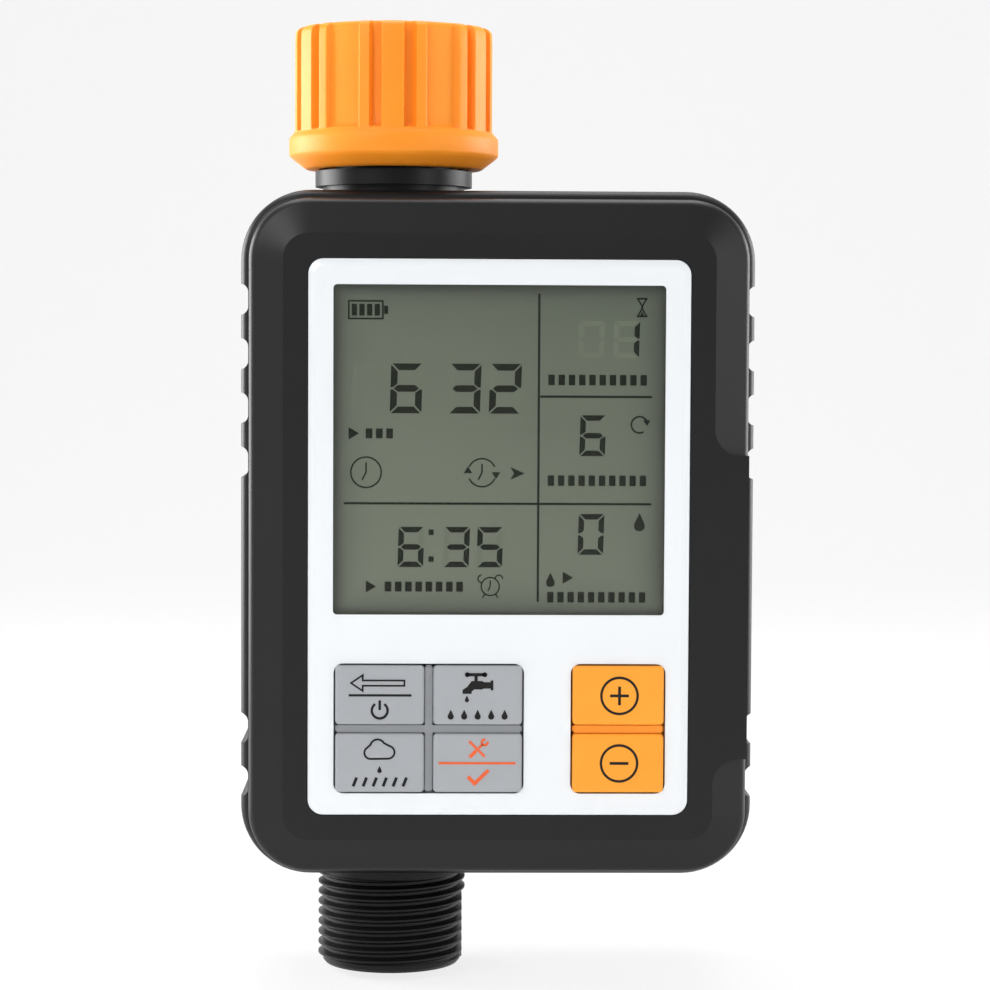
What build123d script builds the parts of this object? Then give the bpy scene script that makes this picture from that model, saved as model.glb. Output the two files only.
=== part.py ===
"""Drip irrigation timer: every separate piece as its own STEP file, in millimetres.

The frame: the origin is the centre of the inlet nut's mouth, on the valve's vertical axis.
+Z is up, the display faces -Y, and +X is to the right seen from the front.
"""
import os

from build123d import *

# ---- inlet nut and collar, above the case ----
NUT_H = 24.8
NUT_R = 17.7
NUT_RIM_R = 18.55
COLLAR_TOP = -NUT_H - 0.4
COLLAR_LOW = COLLAR_TOP - 2.7

# ---- overall case ----
CASE_X = 18.4           # the case's centre line, to the right of the valve's axis
CASE_TOP = COLLAR_LOW - 1.1
CASE_W = 89.2
CASE_H = 119.2
CASE_R = 12.2
FRONT_Y = -25.0
PARTING_Y = -15.0
REAR_Y = 23.0
WALL = 3.0
COVER_INSET = 1.8       # the front cover is this much smaller all round
COVER_WALL = 2.2
COVER_EDGE_R = 1.6
COVER_FACE = 3.2
BEVEL_W = 6.0
BEVEL_D = 2.4
LAND_H = 52.0           # the flat land on the cover's right side
LAND_DROP = 11.8        # its middle, below the middle of the case
LAND_R = 4.5
PLAY = 0.3              # gap between pieces that slide in or lie side by side
FIT = 0.05              # gap round a screw

CASE_Z = CASE_TOP - CASE_H / 2
CASE_BOTTOM = CASE_TOP - CASE_H
COVER_W = CASE_W - 2 * COVER_INSET
COVER_H = CASE_H - 2 * COVER_INSET
COVER_R = CASE_R - COVER_INSET
SEAT_Y = FRONT_Y + COVER_FACE   # back of the front cover's face

# ---- faceplate, display and keys ----
PLATE_W = 65.0
PLATE_H = 94.9
PLATE_R = 2.6
PLATE_T = 2.2
PLATE_PROUD = 0.2
LCD_W = 56.5
LCD_H = 56.2
LCD_DROP = 4.35         # top of the window below the top of the faceplate
WINDOW_T = 1.4
KEY_H = 21.7
KEY_GAP = 1.5
KEY_BASE = 4.0          # keys' lower edge above the faceplate's lower edge
GREY_W = 31.9
AMBER_W = 15.6
GREY_EDGE = 4.7         # keys' outer edge in from the faceplate's side
AMBER_EDGE = 4.2
KEY_PROUD = 0.9
KEY_TRAVEL = 1.0
PCB_W = PLATE_W + 11.0
PCB_H = 90.0
PCB_T = 1.6
PCB_FRONT = -18.9

# ---- water side: pipe thread G 3/4 ----
PITCH = 1.814
THREAD_R = 13.15        # outlet's crest
THREAD_DEPTH = 1.05
NUT_THREAD_R = 12.2     # nut's crest, on the inside
NUT_THREAD_L = 9.4
NECK_R = 10.2
NECK_BORE = 7.5
NECK_L = 10.2           # how far the neck goes into its socket
COLLAR_R = 13.9
SPIGOT_R = 12.5
SOCKET_R = 13.4
SOCKET_TOP = CASE_TOP - WALL - 1.8
NECK_LOW = SOCKET_TOP - NECK_L
CLIP_Z = SOCKET_TOP - 4.2
NECK_SEAL_Z = SOCKET_TOP - 7.9
OUTLET_BORE = 8.5
OUTLET_L = 18.1         # outlet's length below the case
OUTLET_END = CASE_BOTTOM - OUTLET_L
STUB_R = THREAD_R - 0.35
STUB_END = CASE_BOTTOM - 1.6
TIP_R = 12.3
SEAL_Z = CASE_BOTTOM + WALL / 2
VALVE_Z = CASE_TOP - 37.0
SEAT_X = 18.0
FLANGE_X = 20.0
FLANGE = 14.2           # half the side of the square flange
DIAPHRAGM_T = 1.2

# ---- power ----
CELL_R = 7.15
CELL_L = 49.2
CELL_PITCH = 2 * CELL_R + 1.3
BAY_WALL = 1.6
BAY_W = CELL_PITCH + 2 * CELL_R + 0.7
BAY_X = 19.8 + BAY_W / 2
BAY_BOTTOM = CASE_BOTTOM + 8.6
BAY_TOP = BAY_BOTTOM + CELL_L + 8.0
DOOR_MARGIN = 2.0
DOOR_T = 2.0
SEAL_T = 0.8
POCKET_Y = REAR_Y - DOOR_T - SEAL_T
CELL_Y = POCKET_Y - 1.05 - CELL_R
BAY_FRONT = CELL_Y - CELL_R - 0.55

SCREW_R = 1.45
BOSS_X = CASE_W / 2 - 7.4
BOSS_Z = CASE_H / 2 - 8.0
GRIPS = (19.0, 28.4, 37.8, 47.2, 93.6, 102.9)   # side notches, below the top of the case

PLATE_TOP = CASE_Z + PLATE_H / 2
PLATE_BACK = FRONT_Y - PLATE_PROUD + PLATE_T
LCD_Z = PLATE_TOP - LCD_DROP - LCD_H / 2
KEY_Z = CASE_Z - PLATE_H / 2 + KEY_BASE + KEY_H / 2
GREY_X = CASE_X - PLATE_W / 2 + GREY_EDGE + GREY_W / 2
AMBER_X = CASE_X + PLATE_W / 2 - AMBER_EDGE - AMBER_W / 2
KEY_FRONT = FRONT_Y - PLATE_PROUD - KEY_PROUD
PILL_T = 0.8
KEY_BACK = PCB_FRONT - 0.2 - KEY_TRAVEL - PILL_T
PCB_BACK = PCB_FRONT + PCB_T

os.makedirs("parts", exist_ok=True)


def save(shape, name):
    export_step(shape, f"parts/{name}.step")


def box(x0, x1, y0, y1, z0, z1):
    return Pos((x0 + x1) / 2, (y0 + y1) / 2, (z0 + z1) / 2) * Box(x1 - x0, y1 - y0, z1 - z0)


def rod(axis, r, a, b, u=0.0, v=0.0):
    """A cylinder along an axis from a to b; u and v place it on the other two axes."""
    middle = (a + b) / 2
    solid = Cylinder(r, b - a)
    if axis == "x":
        return Pos(middle, u, v) * Rot(0, 90, 0) * solid
    if axis == "y":
        return Pos(u, middle, v) * Rot(90, 0, 0) * solid
    return Pos(u, v, middle) * solid


def tube(axis, r, bore, a, b, u=0.0, v=0.0):
    return rod(axis, r, a, b, u, v) - rod(axis, bore, a - 1, b + 1, u, v)


def slab(x, z, w, h, r, y0, y1):
    """A block with rounded upright corners, seen from the front as w by h."""
    face = Plane.XZ.offset(-y1) * (Pos(x, z) * RectangleRounded(w, h, r))
    return extrude(face, amount=y1 - y0)


def frame(x, z, w, h, r, rim, y0, y1):
    inner = slab(x, z, w - 2 * rim, h - 2 * rim, max(r - rim, 0.2), y0 - 1, y1 + 1)
    return slab(x, z, w, h, r, y0, y1) - inner


def turned(points, axis="z", u=0.0, v=0.0):
    """Turn a profile of (radius, position) points about an axis."""
    face = Plane.XZ * make_face(Polyline(*points, close=True))
    solid = revolve(face, Axis.Z)
    if axis == "x":
        return Pos(0, u, v) * Rot(0, 90, 0) * solid
    return Pos(u, v, 0) * solid


def ring(major, minor, axis, at, u=0.0, v=0.0):
    solid = Torus(major, minor)
    if axis == "x":
        return Pos(at, u, v) * Rot(0, 90, 0) * solid
    return Pos(u, v, at) * solid


def coil(r, wire, a, b, turns, axis="z", u=0.0, v=0.0):
    """A round-wire spring between a and b."""
    height = b - a - 2 * wire
    path = Helix(pitch=height / turns, height=height, radius=r)
    section = Plane(origin=path @ 0, z_dir=path % 0) * Circle(wire)
    solid = Pos(0, 0, wire) * sweep(section, path=path, is_frenet=True)
    if axis == "x":
        return Pos(a, u, v) * Rot(0, 90, 0) * solid
    return Pos(u, v, a) * solid


def thread_groove(r, way, a, b):
    """The helical groove of a pipe thread in a wall of radius r, one pitch past a and b.

    It opens at the wall and narrows to its floor; way is +1 where the wall faces outwards.
    """
    path = Helix(pitch=PITCH, height=b - a + 2 * PITCH, radius=r, center=(0, 0, a - PITCH))
    mouth = 0.5 * PITCH
    floor = 0.12 * PITCH
    past = 0.3 * way
    deep = -THREAD_DEPTH * way
    points = ((past, -mouth), (past, mouth), (deep, floor), (deep, -floor))
    section = Plane(origin=path @ 0, x_dir=(1, 0, 0), z_dir=path % 0) * Polygon(*points, align=None)
    return sweep(section, path=path, is_frenet=True)


def corners(x, z, dx, dz):
    return [(x + sx * dx, z + sz * dz) for sx in (-1, 1) for sz in (-1, 1)]


def screws(points, head_y, tip_y, way=1, head_r=2.7, head_h=1.9):
    """Cross-head screws along Y; way is +1 where the tips point to +Y."""
    found = []
    for x, z in points:
        head = rod("y", head_r, min(head_y, head_y - way * head_h), max(head_y, head_y - way * head_h), x, z)
        shank = rod("y", SCREW_R, min(head_y, tip_y), max(head_y, tip_y), x, z)
        top = head_y - way * head_h
        slot = box(x - 1.5, x + 1.5, min(top, top + way), max(top, top + way), z - 0.35, z + 0.35)
        slot += box(x - 0.35, x + 0.35, min(top, top + way), max(top, top + way), z - 1.5, z + 1.5)
        found.append(head + shank - slot)
    return Compound(found)


# ---- front cover ----
def front_cover():
    shell = slab(CASE_X, CASE_Z, COVER_W, COVER_H, COVER_R, FRONT_Y, PARTING_Y)
    front = shell.faces().sort_by(Axis.Y)[0]
    shell = chamfer(front.edges(), length=BEVEL_W, length2=BEVEL_D, reference=front)
    edge = [e for e in shell.edges() if abs(e.center().Y - (FRONT_Y + BEVEL_D)) < 0.01 and e.length > 3]
    shell = fillet(edge, COVER_EDGE_R)
    # the bevel stops on the right, where a flat land with curved ends runs out to the edge
    land_z = CASE_Z - LAND_DROP
    land_y = FRONT_Y + BEVEL_D + 2
    crease_x = CASE_X + COVER_W / 2 - BEVEL_W
    land = box(crease_x - 4, crease_x + 10, FRONT_Y, land_y, land_z - LAND_H / 2, land_z + LAND_H / 2)
    for way in (-1, 1):
        end = land_z + way * LAND_H / 2
        far = end + way * LAND_R
        land += box(crease_x, crease_x + LAND_R, FRONT_Y, land_y, min(end, far), max(end, far))
        land -= rod("y", LAND_R, FRONT_Y - 1, land_y + 1, crease_x + LAND_R, far)
    outline = slab(CASE_X, CASE_Z, COVER_W - 0.3, COVER_H, COVER_R, FRONT_Y - 1, PARTING_Y)
    shell += land & outline
    inner_w = COVER_W - 2 * COVER_WALL
    inner_h = COVER_H - 2 * COVER_WALL
    shell -= slab(CASE_X, CASE_Z, inner_w, inner_h, COVER_R - COVER_WALL, SEAT_Y, PARTING_Y + 1)
    shell -= slab(CASE_X, CASE_Z, PLATE_W + 0.3, PLATE_H + 0.3, PLATE_R + 0.15, FRONT_Y - 1, PLATE_BACK)
    shell -= slab(CASE_X, CASE_Z, PLATE_W - 3.8, PLATE_H - 3.4, 1.5, PLATE_BACK - 1, SEAT_Y + 1)
    for x, z in corners(CASE_X, CASE_Z, BOSS_X, BOSS_Z):
        shell += rod("y", 3.2, SEAT_Y - 0.5, PARTING_Y, x, z)
        shell -= rod("y", SCREW_R + FIT, SEAT_Y + 2.5, PARTING_Y + 5, x, z)
    for x, z in corners(CASE_X, CASE_Z, PCB_W / 2 - 3, PCB_H / 2 - 4):
        shell += rod("y", 2.5, SEAT_Y - 0.5, PCB_FRONT, x, z)
        shell -= rod("y", SCREW_R + FIT, SEAT_Y - 0.4, PCB_FRONT + 1, x, z)
    shell -= rod("z", THREAD_R + 0.4, CASE_BOTTOM - 1, CASE_BOTTOM + WALL + 5)
    return shell


# ---- rear housing ----
DOOR_W = BAY_W + 2 * DOOR_MARGIN
DOOR_H = BAY_TOP - BAY_BOTTOM + 2 * DOOR_MARGIN + 3
DOOR_Z = (BAY_TOP + BAY_BOTTOM) / 2
UPPER_LUG_Z = CASE_TOP - 19.0
LOWER_LUG_Z = CASE_BOTTOM + 24.2
LUGS = ((-16.7, UPPER_LUG_Z), (16.7, UPPER_LUG_Z), (-14.4, LOWER_LUG_Z), (14.4, LOWER_LUG_Z))
LUG_BACK = 4.0


def rear_housing():
    shell = slab(CASE_X, CASE_Z, CASE_W, CASE_H, CASE_R, PARTING_Y, REAR_Y)
    shell = fillet(shell.faces().sort_by(Axis.Y)[-1].edges(), 5.0)
    shell = fillet(shell.faces().sort_by(Axis.Y)[0].edges(), 1.8)
    for side in (-1, 1):
        x = CASE_X + side * CASE_W / 2
        for drop in GRIPS:
            z = CASE_TOP - drop
            cutter = Pos(x + side * 3.2, 4, z) * Box(9.0, 60, 5.4)
            cutter = fillet(cutter.edges().filter_by(Axis.Y), 1.5)
            shell -= cutter
    inner_w = CASE_W - 2 * WALL
    inner_h = CASE_H - 2 * WALL
    shell -= slab(CASE_X, CASE_Z, inner_w, inner_h, CASE_R - WALL, PARTING_Y + 5, REAR_Y - WALL)
    lip_w = COVER_W - 2 * COVER_WALL
    lip_h = COVER_H - 2 * COVER_WALL
    shell -= slab(CASE_X, CASE_Z, lip_w, lip_h, COVER_R - COVER_WALL, PARTING_Y - 1, PARTING_Y + 6)
    # battery bay, open to the rear
    left = BAY_X - BAY_W / 2
    right = BAY_X + BAY_W / 2
    bay = box(left - BAY_WALL, right + BAY_WALL, BAY_FRONT - BAY_WALL, REAR_Y - WALL + 0.5,
              BAY_BOTTOM - BAY_WALL, BAY_TOP + BAY_WALL)
    pad = slab(BAY_X, DOOR_Z, DOOR_W + 3, DOOR_H + 2, 5, POCKET_Y - 2.6, REAR_Y - WALL + 0.5)
    shell += (bay + pad) & slab(CASE_X, CASE_Z, CASE_W - 2, CASE_H - 2, CASE_R - 1, PARTING_Y, REAR_Y - 1)
    shell -= box(left, right, BAY_FRONT, REAR_Y + 1, BAY_BOTTOM, BAY_TOP)
    shell -= slab(BAY_X, DOOR_Z, DOOR_W + 0.6, DOOR_H + 0.6, 5.3, POCKET_Y, REAR_Y + 1)
    door_top = DOOR_Z + DOOR_H / 2
    shell -= box(BAY_X - 6, BAY_X + 6, REAR_Y - 1.6, REAR_Y + 1, door_top - 1, door_top + 3.5)
    # four screw tubes
    for x, z in corners(CASE_X, CASE_Z, BOSS_X, BOSS_Z):
        shell += rod("y", 4.2, PARTING_Y, REAR_Y - WALL + 0.2, x, z)
        shell -= rod("y", 3.4, 10, REAR_Y + 1, x, z)
        shell -= rod("y", SCREW_R + 0.35, PARTING_Y - 1, 11, x, z)
    # groove for the gasket, under the front cover's wall
    rim_w = COVER_W - 0.8
    rim_h = COVER_H - 0.8
    shell -= frame(CASE_X, CASE_Z, rim_w, rim_h, COVER_R - 0.4, 1.4, PARTING_Y - 1, PARTING_Y + 1)
    # posts that carry the valve
    for x, z in LUGS:
        shell += rod("y", 2.8, LUG_BACK, REAR_Y - 2, x, z)
        shell -= rod("y", SCREW_R + FIT, LUG_BACK - 1, LUG_BACK + 10, x, z)
    shell -= rod("z", SPIGOT_R + PLAY, CASE_TOP - WALL - 5, CASE_TOP + 1)
    shell -= rod("z", THREAD_R + 0.4, CASE_BOTTOM - 1, CASE_BOTTOM + WALL + 5)
    return shell


# ---- faceplate, display, circuit board ----
def faceplate():
    plate = slab(CASE_X, CASE_Z, PLATE_W, PLATE_H, PLATE_R, FRONT_Y - PLATE_PROUD, PLATE_BACK)
    front = plate.faces().sort_by(Axis.Y)[0]
    plate = chamfer(front.edges(), length=1.2, length2=0.35, reference=front)
    plate -= slab(CASE_X, LCD_Z, LCD_W, LCD_H, 0.7, FRONT_Y - 2, PLATE_BACK + 1)
    plate -= slab(CASE_X, LCD_Z, LCD_W + 2, LCD_H + 2, 1.2, PLATE_BACK - WINDOW_T - 0.1, PLATE_BACK + 1)
    for x, w in ((GREY_X, GREY_W), (AMBER_X, AMBER_W)):
        plate -= slab(x, KEY_Z, w + 2 * PLAY, KEY_H + 2 * PLAY, 1.4 + PLAY, FRONT_Y - 2, PLATE_BACK + 1)
    return plate


LCD_FRONT = PLATE_BACK + 0.2
LCD_BACK = LCD_FRONT + 2.2
GLASS_W = LCD_W + 1.5
GLASS_H = LCD_H + 2.4
ZEBRA_W = GLASS_W - 10.0


def lcd_holder():
    tray = slab(CASE_X, LCD_Z, GLASS_W + 2.6, GLASS_H + 2.2, 1.4, LCD_FRONT + 0.4, PCB_FRONT)
    tray -= slab(CASE_X, LCD_Z, GLASS_W + 0.3, GLASS_H + 0.3, 0.6, LCD_FRONT - 1, LCD_BACK)
    tray -= slab(CASE_X, LCD_Z, GLASS_W - 8, GLASS_H - 12, 1.0, LCD_FRONT - 1, PCB_FRONT + 1)
    for side in (-1, 1):
        z = LCD_Z + side * (GLASS_H / 2 - 2.6)
        half = ZEBRA_W / 2 + PLAY
        tray -= box(CASE_X - half, CASE_X + half, LCD_FRONT - 1, PCB_FRONT + 1, z - 1.3, z + 1.3)
    return tray


def zebra_strips():
    found = []
    for side in (-1, 1):
        z = LCD_Z + side * (GLASS_H / 2 - 2.6)
        half = ZEBRA_W / 2
        found.append(box(CASE_X - half, CASE_X + half, LCD_BACK, PCB_FRONT, z - 1.1, z + 1.1))
    return Compound(found)


def main_pcb():
    board = slab(CASE_X, CASE_Z, PCB_W, PCB_H, 2.0, PCB_FRONT, PCB_BACK)
    for x, z in corners(CASE_X, CASE_Z, PCB_W / 2 - 3, PCB_H / 2 - 4):
        board -= rod("y", SCREW_R + FIT, PCB_FRONT - 1, PCB_BACK + 1, x, z)
    return board


def on_board(dx, dz, w, h, r, height):
    """A component on the back of the board, placed from its centre."""
    return slab(CASE_X + dx, CASE_Z + dz, w, h, r, PCB_BACK, PCB_BACK + height)


def key_cells():
    """Each key's name, centre and size."""
    grey_w = (GREY_W - KEY_GAP) / 2
    h = (KEY_H - KEY_GAP) / 2
    step_z = (h + KEY_GAP) / 2
    step_x = (grey_w + KEY_GAP) / 2
    return (
        ("escape", GREY_X - step_x, KEY_Z + step_z, grey_w, h),
        ("manual", GREY_X + step_x, KEY_Z + step_z, grey_w, h),
        ("delay", GREY_X - step_x, KEY_Z - step_z, grey_w, h),
        ("setup", GREY_X + step_x, KEY_Z - step_z, grey_w, h),
        ("plus", AMBER_X, KEY_Z + step_z, AMBER_W, h),
        ("minus", AMBER_X, KEY_Z - step_z, AMBER_W, h),
    )


def keypad_mat(x, w, names):
    """The silicone sheet behind the keys, with a web between them and a wall down to the board."""
    mat = slab(x, KEY_Z, w + 3.4, KEY_H + 3.4, 1.5, PLATE_BACK, PLATE_BACK + 1.2)
    mat += frame(x, KEY_Z, w + 3.4, KEY_H + 3.4, 1.5, 0.9, PLATE_BACK + 1, PCB_FRONT)
    web_front = KEY_FRONT + 1.3
    mat += box(x - w / 2, x + w / 2, web_front, PLATE_BACK + 0.5, KEY_Z - 0.45, KEY_Z + 0.45)
    if w > 20:
        mat += box(x - 0.45, x + 0.45, web_front, PLATE_BACK + 0.5, KEY_Z - KEY_H / 2, KEY_Z + KEY_H / 2)
    for name, kx, kz, kw, kh in key_cells():
        if name in names:
            mat -= slab(kx, kz, kw + 0.5, kh + 0.5, 0.5, KEY_FRONT, PLATE_BACK + 5)
    return mat


def key(kx, kz, kw, kh):
    pad_x, pad_w = (AMBER_X, AMBER_W) if kw == AMBER_W else (GREY_X, GREY_W)
    cap = slab(kx, kz, kw, kh, 0.4, KEY_FRONT, KEY_BACK)
    cap &= slab(pad_x, KEY_Z, pad_w, KEY_H, 1.4, KEY_FRONT, KEY_BACK)
    cap = fillet(cap.faces().sort_by(Axis.Y)[0].edges(), 0.35)
    return cap + slab(kx, kz, kw + 1.1, kh + 1.1, 0.6, KEY_BACK - 0.5, KEY_BACK)


# ---- batteries ----
def battery_cover():
    plate = slab(BAY_X, DOOR_Z, DOOR_W, DOOR_H, 5, REAR_Y - DOOR_T, REAR_Y)
    plate = fillet(plate.faces().sort_by(Axis.Y)[-1].edges(), 0.6)
    plug = frame(BAY_X, DOOR_Z, BAY_W - 2 * PLAY, BAY_TOP - BAY_BOTTOM - 2 * PLAY, 1.0, 1.0,
                 POCKET_Y - 2.0, REAR_Y - DOOR_T + 0.5)
    return plate + plug


def battery(x, up):
    """An AA cell; up is +1 where its button is at the top."""
    nub = 1.2
    low = BAY_BOTTOM + 0.4 + nub if up < 0 else BAY_TOP - 0.4 - nub - CELL_L
    cell = rod("z", CELL_R, low, low + CELL_L, x, CELL_Y)
    cell = fillet(cell.edges(), 0.6)
    if up > 0:
        return cell + rod("z", 2.7, low + CELL_L, low + CELL_L + nub, x, CELL_Y)
    return cell + rod("z", 2.7, low - nub, low, x, CELL_Y)


LEFT_CELL = BAY_X - CELL_PITCH / 2
RIGHT_CELL = BAY_X + CELL_PITCH / 2


def battery_springs():
    low = coil(4.0, 0.4, BAY_BOTTOM + 0.4, BAY_TOP - 1.6 - CELL_L, 4, "z", LEFT_CELL, CELL_Y)
    high = coil(4.0, 0.4, BAY_BOTTOM + 1.6 + CELL_L, BAY_TOP - 0.4, 4, "z", RIGHT_CELL, CELL_Y)
    return Compound([low, high])


def battery_plates():
    low = CELL_Y - CELL_R + 1.65
    high = CELL_Y + CELL_R - 1.15
    found = [box(BAY_X - BAY_W / 2 + 0.8, BAY_X + BAY_W / 2 - 0.8, low, high, BAY_BOTTOM, BAY_BOTTOM + 0.4)]
    for x in (LEFT_CELL, RIGHT_CELL):
        found.append(box(x - CELL_R + 0.65, x + CELL_R - 0.65, low, high, BAY_TOP - 0.4, BAY_TOP))
    return Compound(found)


# ---- inlet ----
CLIP_X = NECK_R - 0.2
CLIP_R = 0.75
LIP_TOP = -NUT_THREAD_L - 6.8
RING_TOP = LIP_TOP + 1.9
NECK_TOP = -NUT_THREAD_L - 3.0
FILTER_LOW = NECK_TOP - 14.6


def inlet_nut():
    nut = turned((
        (0, -NUT_H), (15.6, -NUT_H), (NUT_RIM_R, -NUT_H + 2.3), (NUT_RIM_R, -NUT_H + 5.6),
        (NUT_R, -NUT_H + 6.5), (NUT_R, -1.4), (NUT_R - 1.2, 0), (0, 0)))
    grip_low = -NUT_H + 6.4
    for i in range(6):
        for angle, width, depth in ((9.8, 1.9, 1.6), (-9.8, 1.9, 1.6), (30, 6.6, 0.9)):
            cut = box(NUT_R - depth, NUT_R + 5, -width / 2, width / 2, grip_low, 1.2)
            nut -= Rot(0, 0, -90 + 60 * i + angle) * cut
    nut -= rod("z", NUT_THREAD_R, -NUT_THREAD_L, 1)
    nut -= rod("z", NUT_THREAD_R + 0.6, LIP_TOP, -NUT_THREAD_L)
    nut -= rod("z", NECK_R + 0.4, -NUT_H - 1, 0)
    nut -= rod("z", 13.2, -NUT_H - 1, -NUT_H + 5.2)
    return nut - thread_groove(NUT_THREAD_R, -1, -NUT_THREAD_L + PITCH, -1.0)


def inlet_neck():
    neck = turned((
        (0, NECK_LOW), (NECK_R, NECK_LOW), (NECK_R, SOCKET_TOP), (SPIGOT_R, SOCKET_TOP),
        (SPIGOT_R, COLLAR_LOW), (COLLAR_R, COLLAR_LOW), (COLLAR_R, COLLAR_TOP), (NECK_R, COLLAR_TOP),
        (NECK_R, NECK_TOP), (0, NECK_TOP)))
    neck -= rod("z", NECK_BORE, NECK_LOW - 1, 0)
    neck -= rod("z", 9.0, NECK_TOP - 1.2, 0)
    neck -= tube("z", 12, 9.6, RING_TOP - 1.65, RING_TOP + 0.05)
    neck -= tube("z", 12, 9.2, CLIP_Z - 0.8, CLIP_Z + 0.8)
    neck -= tube("z", 12, 8.6, NECK_SEAL_Z - 1.0, NECK_SEAL_Z + 1.0)
    return neck


def inlet_filter():
    cup = tube("z", 8.8, 6.5, NECK_TOP - 1.2, NECK_TOP)
    cup += rod("z", 7.15, FILTER_LOW, NECK_TOP - 0.6) - rod("z", 6.5, FILTER_LOW + 0.8, 0)
    for i in range(10):
        cup -= Rot(0, 0, 36 * i) * box(5, 9, -1.2, 1.2, FILTER_LOW + 2.0, NECK_TOP - 2.8)
    return cup


def neck_clip():
    clip = box(-CLIP_X, CLIP_X, 14.0, 15.5, CLIP_Z - CLIP_R, CLIP_Z + CLIP_R)
    for side in (-1, 1):
        clip += rod("y", CLIP_R, -12.4, 15.5, side * CLIP_X, CLIP_Z)
    return clip


# ---- valve ----
def outlet_screw():
    """The threaded end below the case, with a flat on its right side."""
    low = OUTLET_END + 1.1
    screw = rod("z", THREAD_R, low, STUB_END) - thread_groove(THREAD_R, 1, OUTLET_END + 1.7, STUB_END - 0.6)
    screw -= box(THREAD_R - 0.55, THREAD_R + 2, -10, 10, OUTLET_END - 1, OUTLET_END + 13.1)
    tip = turned((
        (0, OUTLET_END), (TIP_R - 0.4, OUTLET_END), (TIP_R, OUTLET_END + 0.5), (TIP_R, low + 0.2),
        (0, low + 0.2)))
    return screw + tip


def valve_body():
    body = rod("z", SOCKET_R, VALVE_Z + 14, SOCKET_TOP)
    body += rod("x", 14.2, -12, FLANGE_X, 0, VALVE_Z)
    body += box(FLANGE_X - 4, FLANGE_X, -FLANGE, FLANGE, VALVE_Z - FLANGE, VALVE_Z + FLANGE)
    floor = CASE_BOTTOM + WALL
    body += rod("z", 11, floor, VALVE_Z)
    brim = rod("z", THREAD_R + 1.85, floor, floor + 2.8)
    body += brim - box(-20, 20, -20, PARTING_Y + 5.4, floor - 1, floor + 4)
    for x, z in LUGS:
        body += box(min(x, 0) - 2.6 * (x < 0), max(x, 0) + 2.6 * (x > 0), 0.5, LUG_BACK, z - 3.5, z + 3.5)
    for x, z in LUGS:
        body -= rod("y", SCREW_R + 0.2, 0, LUG_BACK + 1, x, z)
    body -= rod("z", NECK_R + 0.2, NECK_LOW - 0.2, 0)
    for side in (-1, 1):
        body -= rod("y", CLIP_R + 0.1, -20, 20, side * CLIP_X, CLIP_Z)
    body -= rod("z", 7.0, VALVE_Z + 10, NECK_LOW + 4)
    body -= box(0, 12, -5, 5, VALVE_Z + 8.4, VALVE_Z + 12.4)
    body -= rod("x", 11.5, SEAT_X - 7, FLANGE_X + 1, 0, VALVE_Z)
    body += rod("x", 7.2, SEAT_X - 8, SEAT_X, 0, VALVE_Z)
    body -= rod("x", 5.5, -3, SEAT_X + 1, 0, VALVE_Z)
    for y, z in corners(0, VALVE_Z, 11.9, 11.9):
        body -= rod("x", SCREW_R + FIT, FLANGE_X - 8, FLANGE_X + 1, y, z)
    body += rod("z", STUB_R, STUB_END, floor)
    body -= tube("z", THREAD_R + 1, THREAD_R - 1.25, SEAL_Z - 0.9, SEAL_Z + 0.9)
    body += outlet_screw()
    return body - rod("z", OUTLET_BORE, OUTLET_END - 1, VALVE_Z)


def diaphragm():
    top = FLANGE_X + DIAPHRAGM_T
    return turned((
        (0, SEAT_X + 0.1), (7.0, SEAT_X + 0.1), (7.6, FLANGE_X + 0.1), (11.4, FLANGE_X + 0.3),
        (11.6, FLANGE_X), (13.6, FLANGE_X), (13.6, top), (10.4, top), (10.2, top - 0.2), (6.8, top - 0.2),
        (6.6, top), (0, top)),
        "x", 0, VALVE_Z)


BONNET_X = FLANGE_X + DIAPHRAGM_T
DOME_X = BONNET_X + 9.0


def valve_bonnet():
    cap = box(BONNET_X, BONNET_X + 4, -FLANGE, FLANGE, VALVE_Z - FLANGE, VALVE_Z + FLANGE)
    cap += rod("x", 12.0, BONNET_X, DOME_X, 0, VALVE_Z)
    cap -= rod("x", 10.4, BONNET_X - 1, DOME_X - 2, 0, VALVE_Z)
    cap -= rod("x", 0.9, BONNET_X, DOME_X + 1, 0, VALVE_Z)
    for y, z in corners(0, VALVE_Z, 11.9, 11.9):
        cap -= rod("x", 2.9, BONNET_X + 3.0, DOME_X + 1, y, z)
        cap -= rod("x", SCREW_R + FIT, BONNET_X - 1, BONNET_X + 5, y, z)
    return cap


def bonnet_screws():
    found = []
    for y, z in corners(0, VALVE_Z, 11.9, 11.9):
        head = rod("x", 2.6, BONNET_X + 3.0, BONNET_X + 4.8, y, z)
        shank = rod("x", SCREW_R, FLANGE_X - 7, BONNET_X + 3.0, y, z)
        found.append(head + shank - box(BONNET_X + 3.9, BONNET_X + 6, y - 0.4, y + 0.4, z - 2, z + 2))
    return Compound(found)


CORE_X = DOME_X
PLATE_A = CORE_X + 1.2
COIL_END = PLATE_A + 18.4


def core_tube():
    core = rod("x", 7.5, CORE_X, CORE_X + 1.2, 0, VALVE_Z) + rod("x", 5.0, CORE_X, COIL_END + 0.8, 0, VALVE_Z)
    core -= rod("x", 4.4, CORE_X - 1, COIL_END - 4.4, 0, VALVE_Z)
    return core + rod("x", 2.9, COIL_END, COIL_END + 7, 0, VALVE_Z)


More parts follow.
